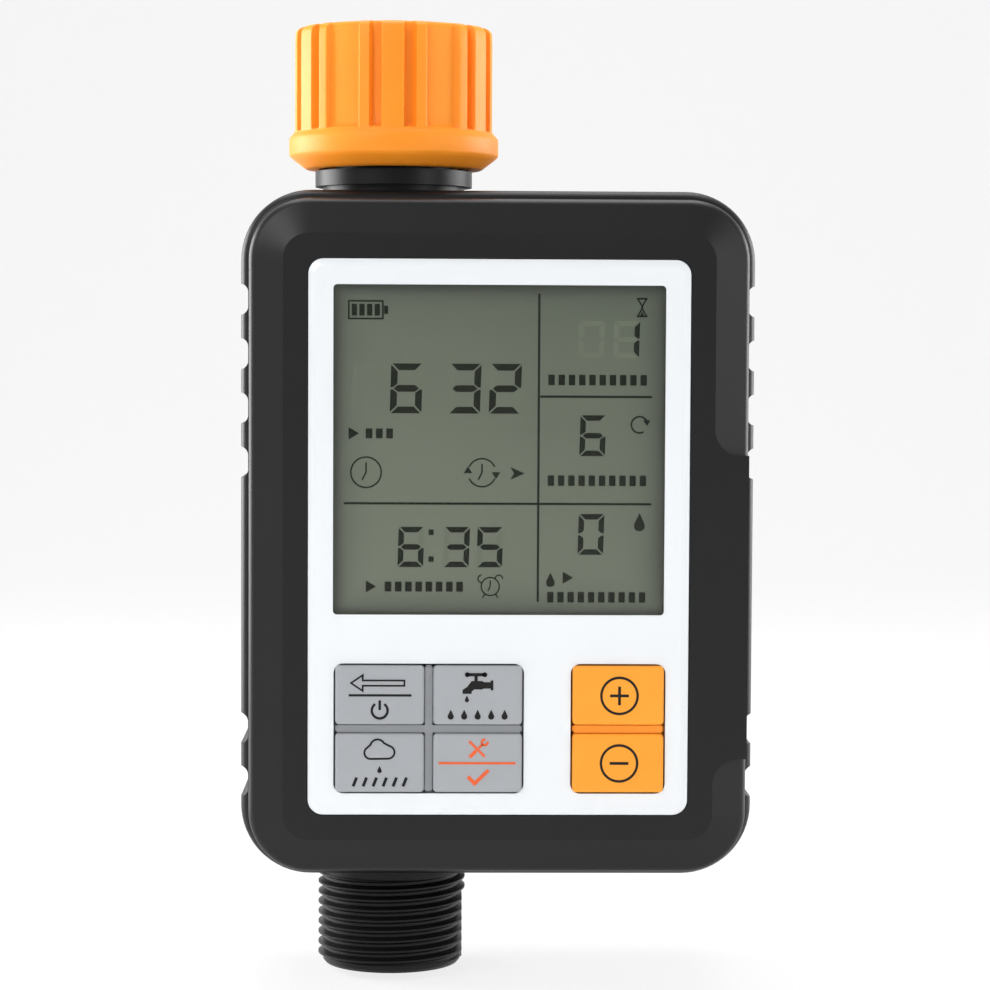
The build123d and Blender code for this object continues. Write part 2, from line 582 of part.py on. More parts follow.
def solenoid_yoke():
    yoke = box(PLATE_A, COIL_END + 1.4, -12, 12, VALVE_Z - 12.6, VALVE_Z + 12.6)
    yoke -= box(PLATE_A + 1.4, COIL_END, -13, 13, VALVE_Z - 11.2, VALVE_Z + 11.2)
    yoke -= rod("x", 5.3, PLATE_A - 1, PLATE_A + 2, 0, VALVE_Z)
    return yoke - rod("x", 5.3, COIL_END - 1, COIL_END + 2, 0, VALVE_Z)


def solenoid_bobbin():
    low = PLATE_A + 1.4
    bobbin = tube("x", 6.3, 5.3, low, COIL_END, 0, VALVE_Z)
    bobbin += tube("x", 10.8, 5.3, low, low + 1.0, 0, VALVE_Z)
    return bobbin + tube("x", 10.8, 5.3, COIL_END - 1.0, COIL_END, 0, VALVE_Z)


PLUNGER_X = CORE_X + 2.2


def plunger():
    body = rod("x", 4.2, PLUNGER_X, PLUNGER_X + 10, 0, VALVE_Z)
    return body - rod("x", 2.3, PLUNGER_X + 4, PLUNGER_X + 11, 0, VALVE_Z)


def solenoid_nut():
    nut = Pos(COIL_END + 4.2, 0, VALVE_Z) * Rot(0, 90, 0) * extrude(RegularPolygon(5.4, 6), amount=2.4)
    return nut - rod("x", 2.95, COIL_END, COIL_END + 9, 0, VALVE_Z)


# ---- write every piece ----
save(front_cover(), "front_cover")
save(rear_housing(), "rear_housing")
save(frame(CASE_X, CASE_Z, COVER_W - 1.0, COVER_H - 1.0, COVER_R - 0.5, 1.0, PARTING_Y, PARTING_Y + 1),
     "case_gasket")
save(screws(corners(CASE_X, CASE_Z, BOSS_X, BOSS_Z), 10, SEAT_Y + 3, -1), "case_screws")
save(faceplate(), "faceplate")
save(slab(CASE_X, LCD_Z, LCD_W + 1.7, LCD_H + 1.7, 1.0, PLATE_BACK - WINDOW_T - 0.1, PLATE_BACK - 0.1),
     "lcd_window")
save(slab(CASE_X, LCD_Z, GLASS_W, GLASS_H, 0.4, LCD_FRONT, LCD_BACK), "lcd_glass")
save(lcd_holder(), "lcd_holder")
save(zebra_strips(), "zebra_strips")
save(main_pcb(), "main_pcb")
save(screws(corners(CASE_X, CASE_Z, PCB_W / 2 - 3, PCB_H / 2 - 4), PCB_BACK, SEAT_Y, -1, 2.4, 1.2),
     "pcb_screws")
save(on_board(30.6, 32.0, 10, 10, 0.3, 1.4), "mcu_chip")
save(Compound([rod("y", 3.2, PCB_BACK, PCB_BACK + 7, CASE_X + 27.6, CASE_Z - drop) for drop in (29, 37)]),
     "capacitors")
save(on_board(17.6, 33.0, 4, 8, 1.2, 2.6), "crystal")
save(on_board(26.6, -8.0, 10, 6, 0.3, 6), "battery_connector")
save(on_board(12.6, -8.0, 10, 6, 0.3, 6), "solenoid_connector")
save(keypad_mat(GREY_X, GREY_W, ("escape", "manual", "delay", "setup")), "keypad_mat_grey")
save(keypad_mat(AMBER_X, AMBER_W, ("plus", "minus")), "keypad_mat_orange")
for name, kx, kz, kw, kh in key_cells():
    save(key(kx, kz, kw, kh), f"key_{name}")
    save(rod("y", 2.5, KEY_BACK, KEY_BACK + PILL_T, kx, kz), f"pill_{name}")
save(battery_cover(), "battery_cover")
save(frame(BAY_X, DOOR_Z, BAY_W + 3.2, BAY_TOP - BAY_BOTTOM + 3.2, 2.0, 1.3, POCKET_Y, REAR_Y - DOOR_T),
     "battery_cover_seal")
save(battery(LEFT_CELL, 1), "battery_left")
save(battery(RIGHT_CELL, -1), "battery_right")
save(battery_springs(), "battery_springs")
save(battery_plates(), "battery_plates")
save(inlet_nut(), "inlet_nut")
save(tube("z", 12.1, 9.7, RING_TOP - 1.6, RING_TOP) - box(-3, 3, 0, 15, -20, 0), "nut_retaining_ring")
save(tube("z", 11.9, 7.6, NECK_TOP, NECK_TOP + 2.8), "inlet_washer")
save(inlet_neck(), "inlet_neck")
save(inlet_filter(), "inlet_filter")
save(neck_clip(), "neck_clip")
save(ring(9.5, 0.89, "z", NECK_SEAL_Z), "neck_oring")
save(valve_body(), "valve_body")
save(screws(LUGS, 0.5, LUG_BACK + 8), "valve_screws")
save(ring(THREAD_R - 0.45, 0.8, "z", SEAL_Z), "outlet_oring")
save(diaphragm(), "diaphragm")
disc = rod("x", 6.3, BONNET_X, BONNET_X + 1.4, 0, VALVE_Z)
save(disc + rod("x", 2.6, BONNET_X, BONNET_X + 3, 0, VALVE_Z), "diaphragm_plate")
save(coil(4.4, 0.35, BONNET_X + 1.4, DOME_X - 2, 4, "x", 0, VALVE_Z), "diaphragm_spring")
save(valve_bonnet(), "valve_bonnet")
save(bonnet_screws(), "bonnet_screws")
save(core_tube(), "core_tube")
save(solenoid_bobbin(), "solenoid_bobbin")
save(tube("x", 9.8, 6.3, PLATE_A + 2.4, COIL_END - 1.0, 0, VALVE_Z), "solenoid_winding")
save(solenoid_yoke(), "solenoid_yoke")
save(tube("x", 7.0, 3.1, COIL_END + 1.4, COIL_END + 4.2, 0, VALVE_Z), "latching_magnet")
save(solenoid_nut(), "solenoid_nut")
save(plunger(), "plunger")
save(rod("x", 2.4, CORE_X + 0.05, PLUNGER_X, 0, VALVE_Z), "plunger_seal")
save(coil(1.7, 0.25, PLUNGER_X + 4, COIL_END - 4.4, 6, "x", 0, VALVE_Z), "plunger_spring")
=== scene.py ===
"""Looks of the drip irrigation timer: finishes, printed marks and fine pieces around the CAD frame.

All sizes are in metres. The origin is the middle of the inlet nut's mouth; the display faces -Y.
"""

import math

import bpy
import bmesh
from mathutils import Euler, Matrix, Vector

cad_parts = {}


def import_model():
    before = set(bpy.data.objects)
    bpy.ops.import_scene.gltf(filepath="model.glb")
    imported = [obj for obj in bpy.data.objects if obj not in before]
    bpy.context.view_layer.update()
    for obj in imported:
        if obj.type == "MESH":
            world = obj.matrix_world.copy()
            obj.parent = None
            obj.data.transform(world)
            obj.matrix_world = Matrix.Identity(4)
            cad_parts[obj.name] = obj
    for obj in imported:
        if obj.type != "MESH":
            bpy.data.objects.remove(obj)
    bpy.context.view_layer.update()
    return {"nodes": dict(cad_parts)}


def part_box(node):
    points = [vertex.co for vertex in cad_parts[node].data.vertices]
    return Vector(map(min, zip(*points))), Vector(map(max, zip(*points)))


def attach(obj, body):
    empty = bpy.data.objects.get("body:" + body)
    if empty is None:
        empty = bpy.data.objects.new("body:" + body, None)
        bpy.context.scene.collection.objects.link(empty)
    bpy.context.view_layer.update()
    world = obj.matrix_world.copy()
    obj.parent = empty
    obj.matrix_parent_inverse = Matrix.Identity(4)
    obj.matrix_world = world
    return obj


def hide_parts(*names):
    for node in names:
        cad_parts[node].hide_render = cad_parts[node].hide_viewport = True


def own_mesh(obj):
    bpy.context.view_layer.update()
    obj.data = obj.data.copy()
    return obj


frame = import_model()
nodes = frame["nodes"]
MM = 0.001


# ---- shader groups: effects that several finishes share ----

def group_socket(tree, name, kind, out=False, value=None):
    socket = tree.interface.new_socket(name=name, in_out="OUTPUT" if out else "INPUT", socket_type=kind)
    if value is not None:
        socket.default_value = value
    return socket


def link(tree, a, b):
    tree.links.new(a, b)


def grain_group():
    """Spark-eroded or moulded grain: a fine height and a slight change of shade."""
    tree = bpy.data.node_groups.new("moulded_grain", "ShaderNodeTree")
    group_socket(tree, "Size", "NodeSocketFloat", value=0.0004)
    group_socket(tree, "Shade", "NodeSocketFloat", value=0.06)
    group_socket(tree, "Height", "NodeSocketFloat", out=True)
    group_socket(tree, "Tint", "NodeSocketFloat", out=True)
    new = tree.nodes.new
    inp, out = new("NodeGroupInput"), new("NodeGroupOutput")
    where = new("ShaderNodeTexCoord")
    inverse = new("ShaderNodeMath")
    inverse.operation = "DIVIDE"
    inverse.inputs[0].default_value = 1.0
    link(tree, inp.outputs["Size"], inverse.inputs[1])
    fine = new("ShaderNodeTexNoise")
    fine.inputs["Detail"].default_value = 3
    link(tree, where.outputs["Object"], fine.inputs["Vector"])
    link(tree, inverse.outputs[0], fine.inputs["Scale"])
    broad = new("ShaderNodeTexNoise")
    broad.inputs["Scale"].default_value = 60
    link(tree, where.outputs["Object"], broad.inputs["Vector"])
    span = new("ShaderNodeMapRange")
    span.inputs["From Min"].default_value = 0.3
    span.inputs["From Max"].default_value = 0.7
    low = new("ShaderNodeMath")
    low.operation = "SUBTRACT"
    low.inputs[0].default_value = 1.0
    high = new("ShaderNodeMath")
    high.inputs[0].default_value = 1.0
    link(tree, inp.outputs["Shade"], low.inputs[1])
    link(tree, inp.outputs["Shade"], high.inputs[1])
    link(tree, broad.outputs["Fac"], span.inputs["Value"])
    link(tree, low.outputs[0], span.inputs["To Min"])
    link(tree, high.outputs[0], span.inputs["To Max"])
    link(tree, fine.outputs["Fac"], out.inputs["Height"])
    link(tree, span.outputs["Result"], out.inputs["Tint"])
    return tree


def edge_highlight_group():
    """Painted edge highlight: 1 where the surface turns sharply, broken up a little."""
    tree = bpy.data.node_groups.new("painted_edge_highlight", "ShaderNodeTree")
    group_socket(tree, "Reach", "NodeSocketFloat", value=0.0004)
    group_socket(tree, "Amount", "NodeSocketFloat", value=0.5)
    group_socket(tree, "Mask", "NodeSocketFloat", out=True)
    new = tree.nodes.new
    inp, out = new("NodeGroupInput"), new("NodeGroupOutput")
    soft = new("ShaderNodeBevel")
    soft.samples = 4
    link(tree, inp.outputs["Reach"], soft.inputs["Radius"])
    plain = new("ShaderNodeNewGeometry")
    dot = new("ShaderNodeVectorMath")
    dot.operation = "DOT_PRODUCT"
    link(tree, soft.outputs["Normal"], dot.inputs[0])
    link(tree, plain.outputs["Normal"], dot.inputs[1])
    turn = new("ShaderNodeMapRange")
    turn.inputs["From Min"].default_value = 0.995
    turn.inputs["From Max"].default_value = 0.90
    link(tree, dot.outputs["Value"], turn.inputs["Value"])
    where = new("ShaderNodeTexCoord")
    patch = new("ShaderNodeTexNoise")
    patch.inputs["Scale"].default_value = 350
    link(tree, where.outputs["Object"], patch.inputs["Vector"])
    mix = new("ShaderNodeMath")
    mix.operation = "MULTIPLY"
    link(tree, turn.outputs["Result"], mix.inputs[0])
    link(tree, patch.outputs["Fac"], mix.inputs[1])
    scale = new("ShaderNodeMath")
    scale.operation = "MULTIPLY"
    scale.use_clamp = True
    link(tree, mix.outputs[0], scale.inputs[0])
    link(tree, inp.outputs["Amount"], scale.inputs[1])
    link(tree, scale.outputs[0], out.inputs["Mask"])
    return tree


GRAIN = grain_group()
EDGE_HIGHLIGHT = edge_highlight_group()


class Finish:
    """A material under way: one Principled shader and the nodes that feed it."""

    def __init__(self, name, color, rough, **fixed):
        self.mat = bpy.data.materials.new(name)
        self.mat.use_nodes = True
        self.tree = self.mat.node_tree
        self.shader = self.tree.nodes["Principled BSDF"]
        self.shader.inputs["Base Color"].default_value = (*color, 1)
        self.shader.inputs["Roughness"].default_value = rough
        self.color = color
        self.rough = rough
        self.mat.diffuse_color = (*color, 1)
        for key, value in fixed.items():
            self.shader.inputs[key.replace("_", " ")].default_value = value

    def new(self, kind, **props):
        node = self.tree.nodes.new(kind)
        for key, value in props.items():
            setattr(node, key, value)
        return node

    def join(self, a, b):
        self.tree.links.new(a, b)

    def where(self):
        return self.new("ShaderNodeTexCoord").outputs["Object"]

    def group(self, tree, **values):
        node = self.new("ShaderNodeGroup", node_tree=tree)
        for key, value in values.items():
            node.inputs[key].default_value = value
        return node

    def bump(self, height, strength, distance):
        bump = self.new("ShaderNodeBump")
        bump.inputs["Strength"].default_value = strength
        bump.inputs["Distance"].default_value = distance
        self.join(height, bump.inputs["Height"])
        self.join(bump.outputs["Normal"], self.shader.inputs["Normal"])
        return bump

    def grain(self, size=0.0004, shade=0.06, strength=0.25, distance=0.00005, edge=0.0, highlight_color=None):
        """Moulded grain all over, with a painted highlight on sharp edges where edge is more than 0."""
        grain = self.group(GRAIN, Size=size, Shade=shade)
        tint = self.new("ShaderNodeMix", data_type="RGBA", blend_type="MULTIPLY")
        tint.inputs["Factor"].default_value = 1.0
        tint.inputs["A"].default_value = (*self.color, 1)
        self.join(grain.outputs["Tint"], tint.inputs["B"])
        result = tint.outputs["Result"]
        # Lighter colour on sharp edges: painted highlight.
        if edge:
            mask = self.group(EDGE_HIGHLIGHT, Amount=edge)
            edge_highlight_mix = self.new("ShaderNodeMix", data_type="RGBA")
            self.join(mask.outputs["Mask"], edge_highlight_mix.inputs["Factor"])
            self.join(result, edge_highlight_mix.inputs["A"])
            edge_highlight_mix.inputs["B"].default_value = (*(highlight_color or [c * 1.6 for c in self.color]), 1)
            result = edge_highlight_mix.outputs["Result"]
        self.join(result, self.shader.inputs["Base Color"])
        rough = self.new("ShaderNodeMapRange")
        rough.inputs["To Min"].default_value = max(self.rough - 0.05, 0)
        rough.inputs["To Max"].default_value = min(self.rough + 0.05, 1)
        self.join(grain.outputs["Height"], rough.inputs["Value"])
        self.join(rough.outputs["Result"], self.shader.inputs["Roughness"])
        self.bump(grain.outputs["Height"], strength, distance)
        return self


def ramp(finish, stops):
    node = finish.new("ShaderNodeValToRGB")
    elements = node.color_ramp.elements
    while len(elements) < len(stops):
        elements.new(0.5)
    for element, (place, color) in zip(elements, stops):
        element.position = place
        element.color = (*color, 1)
    return node


# ---- finishes ----
# The fifth grain argument paints a highlight on sharp edges.
case_black = Finish("case_black", (0.010, 0.010, 0.0105), 0.38, Specular_IOR_Level=0.3)
case_black.grain(0.00025, 0.05, 0.35, 0.00004, 0.35)
valve_black = Finish("valve_black", (0.007, 0.007, 0.0073), 0.36, Specular_IOR_Level=0.22)
valve_black.grain(0.0006, 0.08, 0.2, 0.00003, 0.4)
panel_white = Finish("panel_white", (0.82, 0.85, 0.875), 0.2, Coat_Weight=0.15, Coat_Roughness=0.08)
panel_white.grain(0.0016, 0.006, 0.05, 0.00002)
key_grey = Finish("key_grey", (0.37, 0.385, 0.405), 0.62).grain(0.00018, 0.025, 0.3, 0.00003)
key_orange = Finish("key_orange", (0.97, 0.35, 0.018), 0.58).grain(0.00018, 0.03, 0.3, 0.00003)
nut_orange = Finish("nut_orange", (0.97, 0.305, 0.018), 0.48, Subsurface_Weight=0.15, Subsurface_Scale=0.002)
nut_orange.shader.inputs["Specular IOR Level"].default_value = 0.3
nut_orange.shader.inputs["Subsurface Radius"].default_value = (1.0, 0.4, 0.1)
# The edge colour (1.0, 0.42, 0.06) is a painted highlight on the nut's sharp edges.
nut_orange.grain(0.0012, 0.05, 0.12, 0.00004, 0.3, (1.0, 0.42, 0.06))
# Darker copies of the key colours: painted shade in the grooves between the keys.
shaded_web_grey = Finish("shaded_web_grey", (0.25, 0.26, 0.275), 0.66).grain(0.00018, 0.025, 0.3, 0.00003)
shaded_web_orange = Finish("shaded_web_orange", (0.93, 0.28, 0.013), 0.62).grain(0.00018, 0.03, 0.3, 0.00003)
mark_black = Finish("mark_black", (0.013, 0.0125, 0.0125), 0.6, Specular_IOR_Level=0.2)
mark_black.grain(0.0001, 0.1, 0.2, 0.00001)
mark_orange = Finish("mark_orange", (0.78, 0.11, 0.02), 0.55).grain(0.0001, 0.1, 0.2, 0.00001)
segment_ink = Finish("segment_ink", (0.015, 0.017, 0.012), 0.6, Specular_IOR_Level=0.1)
segment_ink.grain(0.0003, 0.1, 0.05, 0.00001)
ghost_ink = Finish("ghost_ink", (0.125, 0.15, 0.105), 0.4).grain(0.0003, 0.05, 0.05, 0.00001)
rubber_black = Finish("rubber_black", (0.018, 0.018, 0.018), 0.75).grain(0.0003, 0.1, 0.3, 0.00004)
white_nylon = Finish("white_nylon", (0.72, 0.72, 0.69), 0.45).grain(0.0005, 0.04, 0.15, 0.00003)
chip_black = Finish("chip_black", (0.02, 0.02, 0.022), 0.5).grain(0.00015, 0.1, 0.4, 0.00003)


def steel(name, color, rough, axis, stretch=40):
    """Drawn or turned metal: fine lines across the axis."""
    f = Finish(name, color, rough, Metallic=1.0)
    lines = f.new("ShaderNodeMapping")
    scale = [1500, 1500, 1500]
    scale["xyz".index(axis)] = stretch
    lines.inputs["Scale"].default_value = scale
    f.join(f.where(), lines.inputs["Vector"])
    noise = f.new("ShaderNodeTexNoise")
    noise.inputs["Scale"].default_value = 1.0
    noise.inputs["Detail"].default_value = 2
    f.join(lines.outputs["Vector"], noise.inputs["Vector"])
    tone = ramp(f, [(0.3, [c * 0.82 for c in color]), (0.7, [min(c * 1.1, 1) for c in color])])
    f.join(noise.outputs["Fac"], tone.inputs["Fac"])
    f.join(tone.outputs["Color"], f.shader.inputs["Base Color"])
    f.bump(noise.outputs["Fac"], 0.15, 0.00003)
    return f


bright_steel = steel("bright_steel", (0.62, 0.62, 0.63), 0.3, "y")
spring_steel = steel("spring_steel", (0.7, 0.7, 0.71), 0.22, "z")
zinc_plate = steel("zinc_plate", (0.55, 0.56, 0.58), 0.38, "x", 300)
turned_brass = steel("turned_brass", (0.72, 0.52, 0.22), 0.28, "x")
can_aluminium = steel("can_aluminium", (0.78, 0.78, 0.79), 0.3, "y")
magnet_grey = Finish("magnet_grey", (0.05, 0.05, 0.052), 0.55, Metallic=0.6).grain(0.0005, 0.2, 0.5, 0.00005)


def clear_window():
    f = Finish("clear_window", (1, 1, 1), 0.03, Transmission_Weight=1.0, IOR=1.15)
    noise = f.new("ShaderNodeTexNoise")
    noise.inputs["Scale"].default_value = 90
    f.join(f.where(), noise.inputs["Vector"])
    f.bump(noise.outputs["Fac"], 0.02, 0.00001)
    return f


def display_glass():
    """Reflective display: grey-green, with painted shade darkening it round the rim and painted light making
    it a little lighter towards the lower left.
    """
    low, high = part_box("lcd_window")
    f = Finish("display_glass", (0.15, 0.175, 0.125), 0.35)
    place = f.new("ShaderNodeMapping")
    place.vector_type = "TEXTURE"
    place.inputs["Location"].default_value = (low + high) / 2
    place.inputs["Scale"].default_value = (high - low) / 2
    f.join(f.where(), place.inputs["Vector"])
    parts = f.new("ShaderNodeSeparateXYZ")
    f.join(place.outputs["Vector"], parts.inputs["Vector"])
    rim = None
    # Painted shade: the colour darkens towards the rim of the display.
    for axis in "XZ":
        power = f.new("ShaderNodeMath", operation="POWER")
        size = f.new("ShaderNodeMath", operation="ABSOLUTE")
        f.join(parts.outputs[axis], size.inputs[0])
        f.join(size.outputs[0], power.inputs[0])
        power.inputs[1].default_value = 9
        if rim is None:
            rim = power
        else:
            both = f.new("ShaderNodeMath", operation="MAXIMUM")
            f.join(rim.outputs[0], both.inputs[0])
            f.join(power.outputs[0], both.inputs[1])
            rim = both
    # Painted light: the colour grows a little lighter towards the lower left.
    painted_light_slope = f.new("ShaderNodeVectorMath", operation="DOT_PRODUCT")
    f.join(place.outputs["Vector"], painted_light_slope.inputs[0])
    painted_light_slope.inputs[1].default_value = (-0.12, 0, -0.3)
    shade = ramp(f, [(0.0, (0.093, 0.114, 0.078)), (1.0, (0.165, 0.187, 0.134))])
    spread = f.new("ShaderNodeMapRange")
    spread.inputs["From Min"].default_value = -0.42
    spread.inputs["From Max"].default_value = 0.42
    f.join(painted_light_slope.outputs["Value"], spread.inputs["Value"])
    f.join(spread.outputs["Result"], shade.inputs["Fac"])
    # The dark rim colour (0.05, 0.056, 0.045) is painted shade.
    painted_rim_shade_mix = f.new("ShaderNodeMix", data_type="RGBA")
    painted_rim_shade_mix.inputs["B"].default_value = (0.05, 0.056, 0.045, 1)
    f.join(rim.outputs[0], painted_rim_shade_mix.inputs["Factor"])
    f.join(shade.outputs["Color"], painted_rim_shade_mix.inputs["A"])
    f.join(painted_rim_shade_mix.outputs["Result"], f.shader.inputs["Base Color"])
    noise = f.new("ShaderNodeTexNoise")
    noise.inputs["Scale"].default_value = 2500
    f.join(f.where(), noise.inputs["Vector"])
    f.bump(noise.outputs["Fac"], 0.1, 0.00001)
    return f


def board_green():
    """Solder mask over copper: a faint grid of traces shows through."""
    f = Finish("board_green", (0.012, 0.12, 0.05), 0.28, Coat_Weight=0.4)
    brick = f.new("ShaderNodeTexBrick")
    brick.inputs["Scale"].default_value = 220
    brick.inputs["Color1"].default_value = (0.012, 0.12, 0.05, 1)
    brick.inputs["Color2"].default_value = (0.01, 0.1, 0.043, 1)
    brick.inputs["Mortar"].default_value = (0.03, 0.19, 0.08, 1)
    brick.inputs["Mortar Size"].default_value = 0.05
    turn = f.new("ShaderNodeMapping")
    turn.inputs["Rotation"].default_value = (math.pi / 2, 0, 0)
    f.join(f.where(), turn.inputs["Vector"])
    f.join(turn.outputs["Vector"], brick.inputs["Vector"])
    f.join(brick.outputs["Color"], f.shader.inputs["Base Color"])
    f.bump(brick.outputs["Fac"], 0.2, 0.00003)
    return f


def cell_jacket():
    """A plain printed sleeve: blue body, pale band at the button end, bare rims."""
    f = Finish("cell_jacket", (0.02, 0.05, 0.12), 0.25, Metallic=0.4, Coat_Weight=0.5)
    parts = f.new("ShaderNodeSeparateXYZ")
    f.join(f.where(), parts.inputs["Vector"])
    low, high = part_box("battery_left")
    spread = f.new("ShaderNodeMapRange")
    spread.inputs["From Min"].default_value = low.z
    spread.inputs["From Max"].default_value = high.z
    f.join(parts.outputs["Z"], spread.inputs["Value"])
    band = ramp(f, [(0.0, (0.5, 0.5, 0.5)), (0.03, (0.02, 0.05, 0.12)), (0.72, (0.02, 0.05, 0.12)),
                    (0.73, (0.42, 0.44, 0.47)), (0.95, (0.42, 0.44, 0.47)), (0.96, (0.6, 0.6, 0.6))])
    band.color_ramp.interpolation = "CONSTANT"
    f.join(spread.outputs["Result"], band.inputs["Fac"])
    f.join(band.outputs["Color"], f.shader.inputs["Base Color"])
    grain = f.group(GRAIN, Size=0.002, Shade=0.05)
    f.bump(grain.outputs["Height"], 0.1, 0.00003)
    return f


def copper_wire():
    """Enamelled magnet wire, one turn beside the next along X."""
    f = Finish("copper_wire", (0.62, 0.22, 0.07), 0.25, Metallic=0.9, Coat_Weight=0.6)
    noise = f.new("ShaderNodeTexNoise")
    noise.inputs["Scale"].default_value = 400
    f.join(f.where(), noise.inputs["Vector"])
    tone = ramp(f, [(0.3, (0.5, 0.16, 0.05)), (0.7, (0.7, 0.27, 0.09))])
    f.join(noise.outputs["Fac"], tone.inputs["Fac"])
    f.join(tone.outputs["Color"], f.shader.inputs["Base Color"])
    f.bump(noise.outputs["Fac"], 0.1, 0.00002)
    return f


window_clear = clear_window()
display = display_glass()
board = board_green()
jacket = cell_jacket()
copper = copper_wire()

FINISHES = {
    "rear_housing": case_black, "front_cover": case_black, "battery_cover": case_black,
    "case_gasket": rubber_black, "battery_cover_seal": rubber_black, "zebra_strips": rubber_black,
    "inlet_washer": rubber_black, "neck_oring": rubber_black, "outlet_oring": rubber_black,
    "diaphragm": rubber_black, "plunger_seal": rubber_black,
    "case_screws": bright_steel, "pcb_screws": bright_steel, "valve_screws": bright_steel,
    "bonnet_screws": bright_steel, "nut_retaining_ring": bright_steel, "neck_clip": bright_steel,
    "core_tube": bright_steel, "plunger": bright_steel, "crystal": bright_steel,
    "battery_springs": spring_steel, "battery_plates": spring_steel, "diaphragm_spring": spring_steel,
    "plunger_spring": spring_steel, "faceplate": panel_white, "lcd_window": window_clear,
    "lcd_glass": display, "lcd_holder": white_nylon, "battery_connector": white_nylon,
    "solenoid_connector": white_nylon, "inlet_filter": white_nylon, "diaphragm_plate": white_nylon,
    "solenoid_bobbin": white_nylon, "main_pcb": board, "mcu_chip": chip_black,
    "capacitors": can_aluminium, "keypad_mat_grey": key_grey, "keypad_mat_orange": key_orange,
    "battery_left": jacket, "battery_right": jacket, "inlet_nut": nut_orange, "inlet_neck": valve_black,
    "valve_body": valve_black, "valve_bonnet": valve_black, "solenoid_winding": copper,
    "solenoid_yoke": zinc_plate, "latching_magnet": magnet_grey, "solenoid_nut": turned_brass,
}
for name, node in nodes.items():
    if name.startswith("pill_"):
        finish = rubber_black
    elif name.startswith("key_"):
        finish = key_orange if name in ("key_plus", "key_minus") else key_grey
    else:
        finish = FINISHES[name]
    node.data.materials.clear()
    node.data.materials.append(finish.mat)


# ---- making meshes ----

def add_piece(name, verts, faces, finish, body, smooth=False, angle=30):
    """A finished mesh, its place in its points, riding on a body. verts are in millimetres."""
    mesh = bpy.data.meshes.new(name)
    mesh.from_pydata([Vector(v) * MM for v in verts], [], faces)
    bm = bmesh.new()
    bm.from_mesh(mesh)
    bmesh.ops.remove_doubles(bm, verts=bm.verts, dist=1e-7)
    bmesh.ops.recalc_face_normals(bm, faces=bm.faces)
    bm.to_mesh(mesh)
    bm.free()
    obj = bpy.data.objects.new(name, mesh)
    bpy.context.scene.collection.objects.link(obj)
    mesh.materials.append(finish.mat)
    if smooth:
        mesh.shade_smooth()
        mesh.set_sharp_from_angle(angle=math.radians(angle))
    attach(obj, body)
    return obj


def lathe(levels, count):
    """Points and faces of a closed wall. levels is a loop of functions: angle -> (radius, height)."""
    verts = []
    for level in levels:
        for i in range(count):
            a = 2 * math.pi * i / count
            r, z = level(a)
            verts.append((r * math.cos(a), r * math.sin(a), z))
    faces = []
    total = len(levels)
    for k in range(total):
        for i in range(count):
            j = (i + 1) % count
            n = (k + 1) % total
            faces.append((k * count + i, k * count + j, n * count + j, n * count + i))
    return verts, faces


